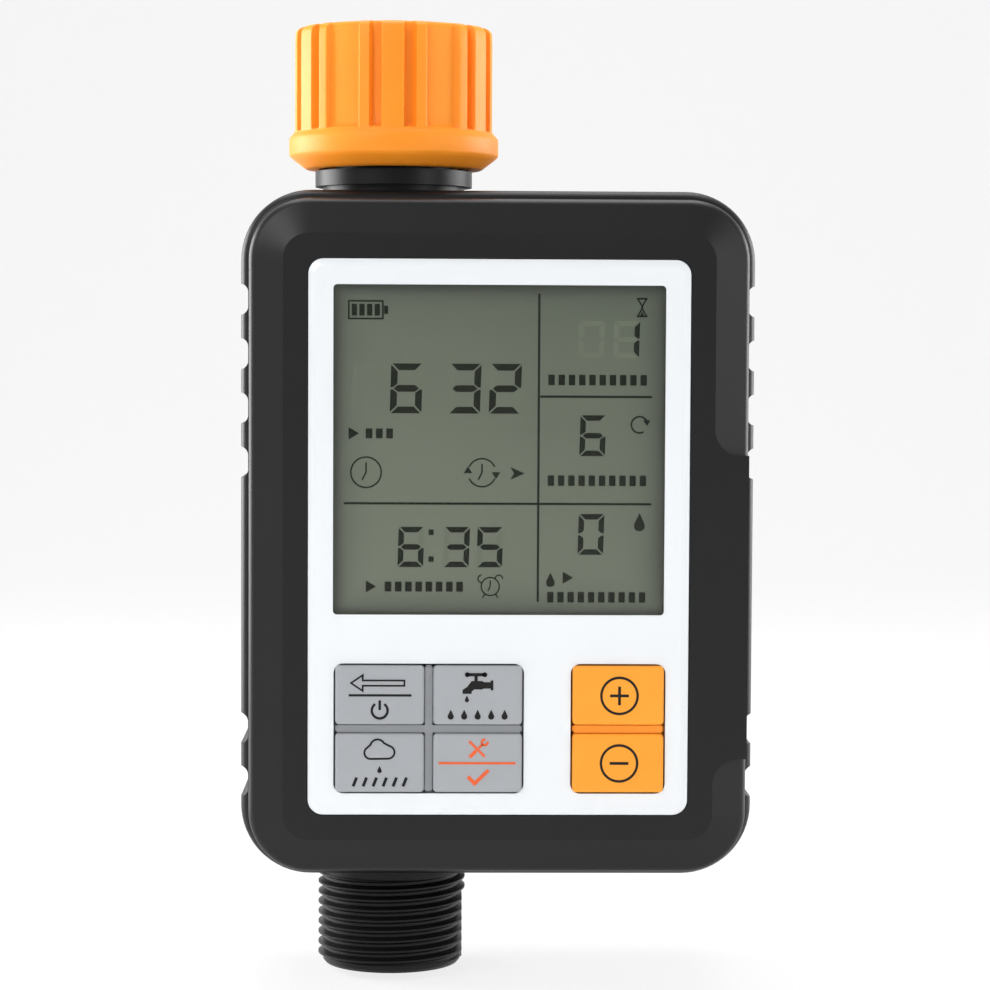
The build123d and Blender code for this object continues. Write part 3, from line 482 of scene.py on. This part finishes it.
class Plate:
    """Thin flat marks on a plane that faces -Y. u runs to the right and v up, in millimetres."""

    def __init__(self, u0, v0, y, depth=0.03):
        self.origin = (u0, v0)
        self.y = y
        self.depth = depth
        self.verts = []
        self.faces = []

    def poly(self, points):
        n = len(points)
        base = len(self.verts)
        for y in (self.y - self.depth, self.y):
            for u, v in points:
                self.verts.append((self.origin[0] + u, y, self.origin[1] + v))
        self.faces.append(tuple(range(base, base + n)))
        self.faces.append(tuple(range(base + 2 * n - 1, base + n - 1, -1)))
        for i in range(n):
            j = (i + 1) % n
            self.faces.append((base + i, base + n + i, base + n + j, base + j))

    def rect(self, u0, v0, u1, v1):
        self.poly([(u0, v0), (u1, v0), (u1, v1), (u0, v1)])

    def line(self, points, width, closed=False):
        """A stroke of even width through the points, with mitred corners."""
        pts = [Vector(p) for p in points]
        n = len(pts)
        sides = []
        for i, p in enumerate(pts):
            before = pts[i - 1] if (i or closed) else None
            after = pts[(i + 1) % n] if (i < n - 1 or closed) else None
            a = (p - before).normalized() if before is not None else None
            b = (after - p).normalized() if after is not None else None
            a, b = a or b, b or a
            normal = Vector((-(a + b).y, (a + b).x)).normalized()
            reach = width / 2 / max(normal.dot(Vector((-a.y, a.x))), 0.35)
            sides.append((p + normal * reach, p - normal * reach))
        for i in range(n if closed else n - 1):
            j = (i + 1) % n
            self.poly([sides[i][0], sides[i][1], sides[j][1], sides[j][0]])

    def arc(self, u, v, r, width, start=0, end=360, steps=40):
        closed = end - start >= 360
        count = steps if closed else steps + 1
        step = math.radians(end - start) / steps
        first = math.radians(start)
        turns = [first + step * i for i in range(count)]
        self.line([(u + r * math.cos(a), v + r * math.sin(a)) for a in turns], width, closed)

    def disc(self, u, v, r, steps=24):
        turn = 2 * math.pi / steps
        self.poly([(u + r * math.cos(turn * i), v + r * math.sin(turn * i)) for i in range(steps)])

    def drop(self, u, v, r):
        """A water drop, round below and pointed above."""
        points = [(u, v + 2.3 * r)]
        for i in range(17):
            a = math.radians(145 + 250 * i / 16)
            points.append((u + r * math.cos(a), v + r * math.sin(a)))
        self.poly(points)

    def digit(self, figure, u, v, w, h, t, ghost=None):
        """A seven-segment figure with its lower left corner at u, v; ghost takes the segments not lit."""
        lit = {"0": "abcdef", "1": "bc", "2": "abged", "3": "abgcd", "5": "afgcd", "6": "afgedc"}[figure]
        m = h / 2
        g = 0.12 * t + 0.06
        slant = 0.03
        shapes = {
            "a": [(g, h), (w - g, h), (w - g - t, h - t), (g + t, h - t)],
            "d": [(g + t, t), (w - g - t, t), (w - g, 0), (g, 0)],
            "g": [(g + t * .3, m), (t + g * .5, m + t / 2), (w - t - g * .5, m + t / 2), (w - g - t * .3, m),
                  (w - t - g * .5, m - t / 2), (t + g * .5, m - t / 2)],
            "f": [(0, h - g), (t, h - t - g), (t, m + t / 2 + g), (t * .35, m + g), (0, m + g)],
            "b": [(w - t, h - t - g), (w, h - g), (w, m + g), (w - t * .35, m + g), (w - t, m + t / 2 + g)],
            "e": [(0, m - g), (t * .35, m - g), (t, m - t / 2 - g), (t, t + g), (0, g)],
            "c": [(w - t, m - t / 2 - g), (w - t * .35, m - g), (w, m - g), (w, g), (w - t, t + g)],
        }
        for key, shape in shapes.items():
            moved = [(u + x + y * slant, v + y) for x, y in shape]
            if key in lit:
                self.poly(moved)
            elif ghost:
                ghost.poly(moved)

    def finish(self, name, material, body):
        return add_piece(name, self.verts, self.faces, material, body)


# ---- the display's marks: figures, dividers and plain pictures ----
glass_low, glass_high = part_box("lcd_window")
LCD_U = (glass_low.x + glass_high.x) / 2 / MM
LCD_V = (glass_low.z + glass_high.z) / 2 / MM
LCD_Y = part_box("lcd_glass")[0].y / MM

marks = Plate(LCD_U, LCD_V, LCD_Y)
ghosts = Plate(LCD_U, LCD_V, LCD_Y, 0.012)


def clock(plate, u, v, r, hands=True, width=0.28):
    plate.arc(u, v, r, width)
    if hands:
        plate.line([(u, v + 0.66 * r), (u, v), (u - 0.26 * r, v - 0.5 * r)], width)


def battery_mark(plate, u, v):
    plate.line([(u - 3, v - 1.5), (u + 2.8, v - 1.5), (u + 2.8, v + 1.5), (u - 3, v + 1.5)], 0.3, True)
    plate.rect(u + 3.0, v - 0.7, u + 3.7, v + 0.7)
    for i in range(4):
        plate.rect(u - 2.5 + 1.3 * i, v - 1.0, u - 1.6 + 1.3 * i, v + 1.0)


def cycle_clock(plate, u, v, r):
    plate.arc(u, v, r, 0.28, 25, 155, 20)
    plate.arc(u, v, r, 0.28, 205, 335, 20)
    plate.line([(u, v + 0.62 * r), (u, v), (u - 0.26 * r, v - 0.5 * r)], 0.28)
    plate.poly([(u - r - 0.75, v - 0.1), (u - r + 0.75, v - 0.1), (u - r, v + 1.1)])
    plate.poly([(u + r - 0.75, v + 0.1), (u + r, v - 1.1), (u + r + 0.75, v + 0.1)])


def alarm_clock(plate, u, v, r):
    clock(plate, u, v, r, width=0.24)
    for side in (-1, 1):
        plate.arc(u + side * r * 0.95, v + r * 0.85, r * 0.42, 0.24, 45 - 45 * side, 225 - 45 * side, 8)
        plate.line([(u + side * r * 0.6, v - r * 0.85), (u + side * r * 0.85, v - r * 1.25)], 0.24)


def hourglass(plate, u, v, h):
    w = 0.62 * h
    plate.line([(u - w, v + h), (u + w, v + h)], 0.3)
    plate.line([(u - w, v - h), (u + w, v - h)], 0.3)
    plate.line([(u - 0.8 * w, v + h), (u + 0.1, v), (u - 0.8 * w, v - h)], 0.26)
    plate.line([(u + 0.8 * w, v + h), (u - 0.1, v), (u + 0.8 * w, v - h)], 0.26)
    plate.poly([(u - 0.45 * w, v - h), (u + 0.45 * w, v - h), (u, v - 0.45 * h)])


def repeat_arrows(plate, u, v, r):
    plate.arc(u, v, r, 0.3, 30, 300, 24)
    tip = (u + r * math.cos(math.radians(30)), v + r * math.sin(math.radians(30)))
    plate.poly([(tip[0] - 0.65, tip[1] + 0.1), (tip[0] + 0.65, tip[1] + 0.1), (tip[0] + 0.1, tip[1] - 0.9)])


battery_mark(marks, -22.7, 23.8)
for figure, u, width in (("6", -18.7, 5.4), ("3", -8.7, 5.4), ("2", -1.8, 5.4)):
    marks.digit(figure, u, 6.2, width, 8.5, 1.15, ghosts)
ghosts.digit("0", -25.2, 6.2, 5.4, 8.5, 1.15)
clock(marks, -22.7, -3.9, 2.6)
cycle_clock(marks, -2.9, -3.9, 2.4)
marks.poly([(1.9, -2.9), (4.4, -4.0), (1.9, -5.1), (2.6, -4.0)])
marks.rect(6.55, -26.0, 6.95, 26.7)
marks.rect(-26.5, -9.4, 26.1, -9.0)
marks.rect(7.0, 8.95, 26.1, 9.35)
for figure, u in (("6", -17.3), ("3", -9.5), ("5", -3.8)):
    marks.digit(figure, u, -20.1, 4.4, 6.9, 0.95, ghosts)
for v in (-14.6, -19.2):
    marks.rect(-12.0, v, -11.1, v + 0.95)
alarm_clock(marks, -1.4, -23.4, 1.55)
marks.digit("1", 19.4, 15.8, 4.4, 6.3, 0.9, ghosts)
ghosts.digit("0", 13.4, 15.8, 4.4, 6.3, 0.9)
marks.digit("6", 13.7, -1.0, 4.4, 7.0, 0.95, ghosts)
marks.digit("0", 13.5, -17.9, 4.4, 7.0, 0.95, ghosts)
hourglass(marks, 24.3, 24.4, 1.5)
repeat_arrows(marks, 24.0, 4.4, 1.4)
marks.drop(24.1, -12.9, 0.95)
marks.poly([(-25.7, 1.7), (-23.9, 2.75), (-25.7, 3.8)])
marks.drop(8.9, -22.7, 0.75)
marks.poly([(11.0, -22.9), (12.8, -21.85), (11.0, -20.8)])
marks.poly([(-22.7, -24.5), (-20.9, -23.45), (-22.7, -22.4)])
marks.finish("display_marks", segment_ink, "case")
ghosts.finish("display_ghosts", ghost_ink, "case")


# ---- rows of repeated pieces, laid out by geometry nodes ----

def open_tree(name, sockets):
    """An empty recipe with these inputs; gives the tree and each input's identifier."""
    tree = bpy.data.node_groups.new(name, "GeometryNodeTree")
    inputs = {}
    for label, kind, value in sockets:
        inputs[label] = group_socket(tree, label, kind, value=value).identifier
    group_socket(tree, "Geometry", "NodeSocketGeometry", out=True)
    return tree, inputs


def row_tree(name):
    """Blocks of one size along a line."""
    tree, inputs = open_tree(name, (
        ("Count", "NodeSocketInt", 8), ("Start", "NodeSocketVector", (0, 0, 0)),
        ("Step", "NodeSocketVector", (0.002, 0, 0)), ("Block", "NodeSocketVector", (0.001, 0.0001, 0.002)),
        ("Finish", "NodeSocketMaterial", None)))
    new = tree.nodes.new
    inp, out = new("NodeGroupInput"), new("NodeGroupOutput")
    row = new("GeometryNodeMeshLine")
    row.mode = "OFFSET"
    block = new("GeometryNodeMeshCube")
    place = new("GeometryNodeInstanceOnPoints")
    real = new("GeometryNodeRealizeInstances")
    paint = new("GeometryNodeSetMaterial")
    for a, b in (
            (inp.outputs["Count"], row.inputs["Count"]), (inp.outputs["Start"], row.inputs["Start Location"]),
            (inp.outputs["Step"], row.inputs["Offset"]), (inp.outputs["Block"], block.inputs["Size"]),
            (row.outputs["Mesh"], place.inputs["Points"]), (block.outputs["Mesh"], place.inputs["Instance"]),
            (place.outputs["Instances"], real.inputs["Geometry"]),
            (real.outputs["Geometry"], paint.inputs["Geometry"]),
            (inp.outputs["Finish"], paint.inputs["Material"]),
            (paint.outputs["Geometry"], out.inputs["Geometry"])):
        link(tree, a, b)
    return tree, inputs


def winding_tree(name):
    """Round wire in equal turns along X, as one helix."""
    tree, inputs = open_tree(name, (
        ("Turns", "NodeSocketFloat", 20.0), ("Radius", "NodeSocketFloat", 0.01),
        ("Length", "NodeSocketFloat", 0.015), ("Wire", "NodeSocketFloat", 0.0003),
        ("Start", "NodeSocketVector", (0, 0, 0)), ("Finish", "NodeSocketMaterial", None)))
    new = tree.nodes.new
    inp, out = new("NodeGroupInput"), new("NodeGroupOutput")
    helix = new("GeometryNodeCurveSpiral")
    helix.inputs["Resolution"].default_value = 36
    section = new("GeometryNodeCurvePrimitiveCircle")
    section.inputs["Resolution"].default_value = 8
    wire = new("GeometryNodeCurveToMesh")
    wire.inputs["Fill Caps"].default_value = True
    lay = new("GeometryNodeTransform")
    lay.inputs["Rotation"].default_value = (0, math.pi / 2, 0)
    real = new("GeometryNodeRealizeInstances")
    paint = new("GeometryNodeSetMaterial")
    for a, b in (
            (inp.outputs["Turns"], helix.inputs["Rotations"]),
            (inp.outputs["Radius"], helix.inputs["Start Radius"]),
            (inp.outputs["Radius"], helix.inputs["End Radius"]),
            (inp.outputs["Length"], helix.inputs["Height"]),
            (helix.outputs["Curve"], wire.inputs["Curve"]), (inp.outputs["Wire"], section.inputs["Radius"]),
            (section.outputs["Curve"], wire.inputs["Profile Curve"]),
            (wire.outputs["Mesh"], lay.inputs["Geometry"]), (inp.outputs["Start"], lay.inputs["Translation"]),
            (lay.outputs["Geometry"], real.inputs["Geometry"]),
            (real.outputs["Geometry"], paint.inputs["Geometry"]),
            (inp.outputs["Finish"], paint.inputs["Material"]),
            (paint.outputs["Geometry"], out.inputs["Geometry"])):
        link(tree, a, b)
    return tree, inputs


def grown(name, recipe, body, **values):
    """Run a tree with these inputs and keep the result as a plain mesh on a body."""
    tree, inputs = recipe
    carrier = bpy.data.objects.new(name + "_maker", bpy.data.meshes.new(name + "_maker"))
    bpy.context.scene.collection.objects.link(carrier)
    modifier = carrier.modifiers.new("rows", "NODES")
    modifier.node_group = tree
    for label, value in values.items():
        modifier[inputs[label]] = value
    bpy.context.view_layer.update()
    evaluated = carrier.evaluated_get(bpy.context.evaluated_depsgraph_get())
    mesh = bpy.data.meshes.new_from_object(evaluated)
    bpy.data.objects.remove(carrier)
    mesh.name = name
    obj = bpy.data.objects.new(name, mesh)
    bpy.context.scene.collection.objects.link(obj)
    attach(obj, body)
    return obj


ROWS = row_tree("block_row")
WINDING = winding_tree("wire_winding")


def blocks(name, body, count, start, step, size, finish):
    """A straight row of equal blocks. Sizes are in metres."""
    grown(name, ROWS, body, Count=count, Start=start, Step=step, Block=size, Finish=finish.mat)


def gauge(name, u, v, count, size=(1.15, 1.7)):
    """A bar gauge on the display."""
    blocks(name, "case", count, (MM * (LCD_U + u), MM * (LCD_Y - 0.015), MM * (LCD_V + v)),
           (MM * 1.75, 0.0, 0.0), (MM * size[0], MM * 0.03, MM * size[1]), segment_ink)


gauge("gauge_now", -22.2, 2.75, 3)
gauge("gauge_start", -18.9, -23.45, 8)
gauge("gauge_long", 8.9, 12.0, 10, size=(1.1, 1.8))
gauge("gauge_often", 8.9, -5.2, 10, size=(1.1, 1.8))
gauge("gauge_next", 8.9, -25.2, 10, size=(1.1, 1.8))


# ---- keys: soft caps with a rolled edge, and the marks on them ----

KEY_FLANGE = 0.55


def soft_cap(name, cad_key, finish, body):
    """A moulded cap over the CAD key: crowned a little, rolled at its rim, straight below."""
    low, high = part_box(cad_key)
    flange = KEY_FLANGE
    x0, x1 = low.x / MM + flange, high.x / MM - flange
    z0, z1 = low.z / MM + flange, high.z / MM - flange
    y0, y1 = low.y / MM, high.y / MM
    cx, cz, hx, hz = (x0 + x1) / 2, (z0 + z1) / 2, (x1 - x0) / 2, (z1 - z0) / 2

    def ring(inset, y, corner):
        points = []
        for sx, sz, start in ((1, 1, 0), (-1, 1, 90), (-1, -1, 180), (1, -1, 270)):
            ox, oz = cx + sx * (hx - inset - corner), cz + sz * (hz - inset - corner)
            for i in range(7):
                a = math.radians(start + 15 * i)
                points.append((ox + corner * math.cos(a), y, oz + corner * math.sin(a)))
        return points

    profile = [(0.0, y1 - 0.5, 0.7), (0.0, y0 + 0.62, 0.7)]
    for i in range(1, 7):
        a = math.radians(15 * i)
        inward = 1 - math.cos(a)
        profile.append((0.55 * inward, y0 + 0.62 - 0.55 * math.sin(a), max(0.7 - 0.25 * inward, 0.4)))
    profile += [(1.4, y0 + 0.04, 0.5), (3.0, y0 + 0.0, 0.5)]
    verts = []
    for inset, y, corner in profile:
        verts += ring(inset, y, corner)
    n = 28
    faces = []
    for k in range(len(profile) - 1):
        for i in range(n):
            j = (i + 1) % n
            faces.append((k * n + i, k * n + j, (k + 1) * n + j, (k + 1) * n + i))
    faces.append(tuple(range((len(profile) - 1) * n, len(profile) * n)))
    base = len(verts)
    verts += ring(-flange, y1 - 0.5, 0.6) + ring(-flange, y1, 0.6)
    for i in range(n):
        j = (i + 1) % n
        faces.append((i, base + i, base + j, j))
        faces.append((base + i, base + n + i, base + n + j, base + j))
    faces.append(tuple(range(base + 2 * n - 1, base + n - 1, -1)))
    cap = add_piece(name, verts, faces, finish, body, smooth=True, angle=40)
    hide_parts(cad_key)
    return cx, cz, y0


def key_web(name, words, finish):
    """The soft strip that fills the grooves between the keys of one block, a little below their tops; its
    darker finish is painted shade in the grooves.
    """
    boxes = [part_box("key_" + word) for word in words]
    x0 = min(low.x for low, high in boxes) / MM + KEY_FLANGE + 0.3
    x1 = max(high.x for low, high in boxes) / MM - KEY_FLANGE - 0.3
    z0 = min(low.z for low, high in boxes) / MM + KEY_FLANGE + 0.3
    z1 = max(high.z for low, high in boxes) / MM - KEY_FLANGE - 0.3
    cx, cz, half = (x0 + x1) / 2, (z0 + z1) / 2, 0.64
    web = Plate(0, 0, boxes[0][0].y / MM + 1.28, 0.6)
    if len(words) == 2:
        web.rect(x0, cz - half, x1, cz + half)
    else:
        left, right, lower, upper = cx - half, cx + half, cz - half, cz + half
        web.poly([(x0, lower), (left, lower), (left, z0), (right, z0), (right, lower), (x1, lower),
                  (x1, upper), (right, upper), (right, z1), (left, z1), (left, upper), (x0, upper)])
    web.finish(name, finish, "case")


key_web("grey_web", ("escape", "manual", "delay", "setup"), shaded_web_grey)
key_web("orange_web", ("plus", "minus"), shaded_web_orange)


def tap_mark(plate, u, v):
    """A garden tap with a cross handle."""
    plate.rect(u - 1.5, v + 2.75, u + 1.5, v + 3.3)
    plate.disc(u - 1.5, v + 3.02, 0.42)
    plate.disc(u + 1.5, v + 3.02, 0.42)
    plate.rect(u - 0.28, v + 1.9, u + 0.28, v + 2.8)
    spout = [(-1.5, 0.95), (-0.75, 1.95), (1.0, 1.95), (1.35, 1.75), (2.5, 1.75), (2.5, 0.65), (1.35, 0.65),
             (1.0, 0.5), (-0.3, 0.5), (-0.75, 0.1), (-0.75, -0.25), (-2.3, -0.25), (-2.3, 0.4)]
    plate.poly([(u + x, v + y) for x, y in spout])
    plate.rect(u + 2.5, v + 0.35, u + 2.95, v + 2.05)
    plate.drop(u - 1.55, v - 1.35, 0.36)


def cloud_mark(plate, u, v):
    puffs = ((-1.55, 0.15, 1.05, 270, 120), (-0.35, 1.2, 1.25, 165, 30), (1.45, 0.25, 1.1, 75, -90))
    points = []
    for cu, cv, r, start, end in puffs:
        for i in range(9):
            a = math.radians(start + (end - start) * i / 8)
            points.append((u + cu + r * math.cos(a), v + cv + r * math.sin(a)))
    plate.line(points, 0.34, True)


def tools_mark(plate, u, v, s):
    """A spanner across a screwdriver."""
    plate.line([(u - 1.5 * s, v + 1.5 * s), (u + 1.3 * s, v - 1.3 * s)], 0.42)
    plate.line([(u - 0.2 * s, v - 0.2 * s), (u - 1.4 * s, v - 1.4 * s)], 0.62)
    plate.line([(u + 0.2 * s, v + 0.2 * s), (u + 0.95 * s, v + 0.95 * s)], 0.42)
    plate.arc(u + 1.3 * s, v + 1.3 * s, 0.52 * s, 0.4, 75, 375, 14)


KEY_MARKS = {}
for word in ("escape", "manual", "delay", "setup", "plus", "minus"):
    colour = key_orange if word in ("plus", "minus") else key_grey
    cx, cz, y0 = soft_cap(word + "_cap", "key_" + word, colour, word + "_key")
    KEY_MARKS[word] = Plate(cx, cz, y0 + 0.02, 0.05)

p = KEY_MARKS["escape"]
p.line([(-4.9, 2.1), (-2.9, 3.45), (-2.9, 2.55), (4.2, 2.55), (4.2, 1.65), (-2.9, 1.65), (-2.9, 0.75)],
       0.3, True)
p.rect(-5.3, -0.2, 5.4, 0.2)
p.arc(0, -2.6, 1.35, 0.42, -235, 55, 24)
p.rect(-0.22, -2.5, 0.22, -0.85)
p = KEY_MARKS["manual"]
tap_mark(p, -0.3, 0.55)
for i in range(5):
    p.drop(-4.6 + 2.3 * i, -3.6, 0.52)
p = KEY_MARKS["delay"]
cloud_mark(p, 0, 1.6)
p.drop(0, -1.35, 0.38)
for i in range(6):
    p.line([(-4.5 + 1.7 * i, -4.0), (-3.9 + 1.7 * i, -2.5)], 0.5)
p = KEY_MARKS["setup"]
tools_mark(p, 0, 2.35, 0.95)
p.rect(-6.6, -0.2, 6.5, 0.2)
p.line([(-1.6, -2.3), (-0.5, -3.5), (1.9, -1.2)], 0.62)
for word, upright in (("plus", True), ("minus", False)):
    p = KEY_MARKS[word]
    p.arc(0.2, 0, 3.1, 0.42, steps=56)
    p.rect(-1.4, -0.24, 1.8, 0.24)
    if upright:
        p.rect(-0.04, 0.24, 0.44, 1.6)
        p.rect(-0.04, -1.6, 0.44, -0.24)
for word, plate in KEY_MARKS.items():
    plate.finish(word + "_mark", mark_orange if word == "setup" else mark_black, word + "_key")


# ---- the inlet nut: ribs by angle, a rolled top edge and the thread inside ----
PITCH = 1.814


def smooth_step(x, a, b):
    t = min(max((x - a) / (b - a), 0.0), 1.0)
    return t * t * (3 - 2 * t)


def rib_depth(angle):
    """How far the grip stands below the ribs' tops: a broad rib, two slots, two thin ribs, a wide hollow."""
    d = abs((math.degrees(angle) + 90 + 30) % 60 - 30)
    slot = smooth_step(d, 6.3, 7.3) - smooth_step(d, 12.2, 13.4)
    hollow = smooth_step(d, 19.2, 20.6)
    return 1.5 * slot + 0.95 * hollow


def thread_height(angle, z, r0, depth):
    """Radius of a rounded pipe thread: r0 at the crest, less depth in the groove."""
    phase = (z / PITCH - angle / (2 * math.pi)) % 1.0
    wave = abs(2 * phase - 1)
    return r0 - depth * smooth_step(wave, 0.16, 0.84)


def nut_levels():
    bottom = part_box("inlet_nut")[0].z / MM
    levels = []

    def grip(r, z, share):
        levels.append(lambda a: (r - share * rib_depth(a), z))

    levels.append(lambda a: (13.3, bottom))
    levels.append(lambda a: (15.4, bottom))
    levels.append(lambda a: (15.75, bottom + 0.15))
    for t in (0.25, 0.5, 0.75):
        levels.append(lambda a, t=t: (15.75 + 2.6 * t, bottom + 0.15 + 2.0 * t))
    levels.append(lambda a: (18.4, bottom + 2.25))
    levels.append(lambda a: (18.54, bottom + 2.6))
    levels.append(lambda a: (18.54, bottom + 4.9))
    levels.append(lambda a: (18.47, bottom + 5.4))
    levels.append(lambda a: (18.2, bottom + 5.8))
    levels.append(lambda a: (17.75, bottom + 6.2))
    for z, share in ((-18.35, 0.0), (-18.2, 0.5), (-17.9, 0.85), (-17.4, 1.0), (-14, 1), (-10, 1), (-6, 1),
                     (-3.2, 1)):
        grip(17.68, z, share)
    for i in range(1, 7):
        a = math.radians(15 * i)
        grip(17.68 - 1.5 * (1 - math.cos(a)), -1.62 + 1.55 * math.sin(a), 1 - 0.7 * i / 6)
    levels.append(lambda a: (15.2, -0.03))
    levels.append(lambda a: (13.9, -0.03))
    levels.append(lambda a: (13.55, -0.25))
    steps = int(9.2 / PITCH * 10)
    for k in range(steps + 1):
        z = -0.35 - 9.0 * k / steps
        fade = smooth_step(k, 0, 6) * (1 - smooth_step(k, steps - 6, steps))
        levels.append(lambda a, z=z, fade=fade: (
            26.6 - thread_height(a, z, 14.35, 1.02) * fade - (1 - fade) * 13.25, z))
    levels.append(lambda a: (12.85, -9.6))
    levels.append(lambda a: (12.85, -16.2))
    levels.append(lambda a: (10.65, -16.2))
    levels.append(lambda a: (10.65, -19.5))
    levels.append(lambda a: (13.2, -19.6))
    return levels


verts, faces = lathe(nut_levels(), 720)
nut = add_piece("nut_shell", verts, faces, nut_orange, "nut", smooth=True, angle=38)
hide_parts("inlet_nut")

# ---- coil: one layer of wire turns over the wound core ----
low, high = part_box("solenoid_winding")
middle = (low + high) / 2
grown("coil_turns", WINDING, "case", Turns=44.0, Radius=(high.z - low.z) / 2, Length=high.x - low.x - 0.0004,
      Wire=0.00017, Start=(low.x + 0.0002, middle.y, middle.z), Finish=copper.mat)


# ---- springs: each CAD spring copied into a piece of its own, riding on the case ----

def shortening_spring(node):
    coil = bpy.data.objects.new(node + "_coil", nodes[node].data.copy())
    bpy.context.scene.collection.objects.link(coil)
    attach(coil, "case")
    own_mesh(coil)
    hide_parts(node)


shortening_spring("diaphragm_spring")
shortening_spring("plunger_spring")

# ---- board: solder pads along the back, and the chip's legs ----
low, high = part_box("main_pcb")
for k, z in enumerate((-0.068, -0.084)):
    blocks(f"solder_pads_{k}", "case", 16, (0.0365, high.y + 0.00005, z), (0.00127, 0.0, 0.0),
           (0.0008, 0.0001, 0.0018), can_aluminium)
chip_low, chip_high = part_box("mcu_chip")
for side in (0, 1):
    z = chip_low.z - 0.0006 if side == 0 else chip_high.z + 0.0006
    blocks(f"chip_legs_{side}", "case", 11, (chip_low.x + 0.001, chip_low.y + 0.00025, z), (0.0008, 0.0, 0.0),
           (0.0004, 0.0005, 0.0013), can_aluminium)

# ---- battery cover: grip bars for a thumb ----
low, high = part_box("battery_cover")
blocks("cover_grips", "cover", 6, ((low.x + high.x) / 2, high.y - 0.0001, high.z - 0.006),
       (0.0, 0.0, -0.0018), (0.016, 0.0005, 0.0008), case_black)


# ---- floor, light and camera ----

def backdrop():
    """A pale floor that bends up into a wall, plain white where the camera sees it."""
    mesh = bpy.data.meshes.new("floor")
    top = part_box("valve_body")[0].z - 0.0015
    path = [(-3.0, top), (0.8, top)]
    for i in range(1, 13):
        a = math.radians(7.5 * i)
        path.append((0.8 + 0.6 * math.sin(a), top + 0.6 * (1 - math.cos(a))))
    path.append((1.4, 4.0))
    verts = [(x, y, z) for y, z in path for x in (-4, 4)]
    faces = [(2 * i, 2 * i + 1, 2 * i + 3, 2 * i + 2) for i in range(len(path) - 1)]
    mesh.from_pydata(verts, [], faces)
    mesh.shade_smooth()
    obj = bpy.data.objects.new("floor", mesh)
    bpy.context.scene.collection.objects.link(obj)
    mat = bpy.data.materials.new("floor_white")
    mat.use_nodes = True
    tree = mat.node_tree
    shader = tree.nodes["Principled BSDF"]
    shader.inputs["Base Color"].default_value = (0.9, 0.9, 0.9, 1)
    shader.inputs["Roughness"].default_value = 0.8
    light = tree.nodes.new("ShaderNodeEmission")
    light.inputs["Strength"].default_value = 1.0
    mix = tree.nodes.new("ShaderNodeMixShader")
    rays = tree.nodes.new("ShaderNodeLightPath")
    clear = tree.nodes.new("ShaderNodeMath")
    clear.operation = "MAXIMUM"
    seen = tree.nodes.new("ShaderNodeMath")
    seen.operation = "MAXIMUM"
    part = tree.nodes.new("ShaderNodeMath")
    part.operation = "MULTIPLY"
    part.inputs[1].default_value = 0.8
    tree.links.new(rays.outputs["Is Glossy Ray"], clear.inputs[0])
    tree.links.new(rays.outputs["Is Transmission Ray"], clear.inputs[1])
    tree.links.new(rays.outputs["Is Camera Ray"], seen.inputs[0])
    tree.links.new(clear.outputs[0], seen.inputs[1])
    tree.links.new(seen.outputs[0], part.inputs[0])
    tree.links.new(part.outputs[0], mix.inputs[0])
    tree.links.new(shader.outputs[0], mix.inputs[1])
    tree.links.new(light.outputs[0], mix.inputs[2])
    tree.links.new(mix.outputs[0], tree.nodes["Material Output"].inputs["Surface"])
    mesh.materials.append(mat)


def world():
    scene = bpy.context.scene
    scene.world = bpy.data.worlds.new("studio")
    scene.world.use_nodes = True
    tree = scene.world.node_tree
    base = tree.nodes["Background"]
    base.inputs["Color"].default_value = (1, 1, 1, 1)
    base.inputs["Strength"].default_value = 0.3
    white = tree.nodes.new("ShaderNodeBackground")
    white.inputs["Strength"].default_value = 1.0
    rays = tree.nodes.new("ShaderNodeLightPath")
    one = tree.nodes.new("ShaderNodeMath")
    one.operation = "MAXIMUM"
    mix = tree.nodes.new("ShaderNodeMixShader")
    tree.links.new(rays.outputs["Is Camera Ray"], one.inputs[0])
    tree.links.new(rays.outputs["Is Transmission Ray"], one.inputs[1])
    tree.links.new(one.outputs[0], mix.inputs[0])
    tree.links.new(base.outputs[0], mix.inputs[1])
    tree.links.new(white.outputs[0], mix.inputs[2])
    tree.links.new(mix.outputs[0], tree.nodes["World Output"].inputs["Surface"])


def lamp(name, place, target, size, power):
    data = bpy.data.lights.new(name, "AREA")
    data.shape = "RECTANGLE"
    data.size, data.size_y = size
    data.energy = power
    obj = bpy.data.objects.new(name, data)
    obj.location = place
    obj.rotation_euler = (Vector(target) - Vector(place)).to_track_quat("-Z", "Y").to_euler()
    bpy.context.scene.collection.objects.link(obj)


backdrop()
world()
CENTRE = (0.018, 0, -0.085)
lamp("key_light", (-0.5, -0.75, 0.45), CENTRE, (0.5, 0.5), 4.1)
lamp("fill_light", (0.75, -0.6, 0.1), CENTRE, (0.4, 0.8), 2.2)
lamp("top_light", (0.0, 0.15, 0.75), CENTRE, (0.7, 0.7), 6.5)
lamp("left_strip", (-0.55, 0.18, -0.05), CENTRE, (0.42, 0.5), 6.8)
lamp("right_strip", (0.6, 0.18, -0.05), CENTRE, (0.42, 0.5), 4.4)

camera_data = bpy.data.cameras.new("camera")
camera_data.sensor_width = 36
camera_data.lens = 106.1
camera_data.clip_start = 0.01
camera = bpy.data.objects.new("camera", camera_data)
aim = Euler((0, 0, math.radians(-1.305))).to_matrix() @ Euler((math.radians(87), 0, 0)).to_matrix()
aim = aim @ Euler((0, 0, math.radians(0.28))).to_matrix()
camera.matrix_world = Matrix.Translation((0.0064, -0.521, -0.0552)) @ aim.to_4x4()
bpy.context.scene.collection.objects.link(camera)
bpy.context.scene.camera = camera
bpy.context.scene.view_settings.view_transform = "Standard"
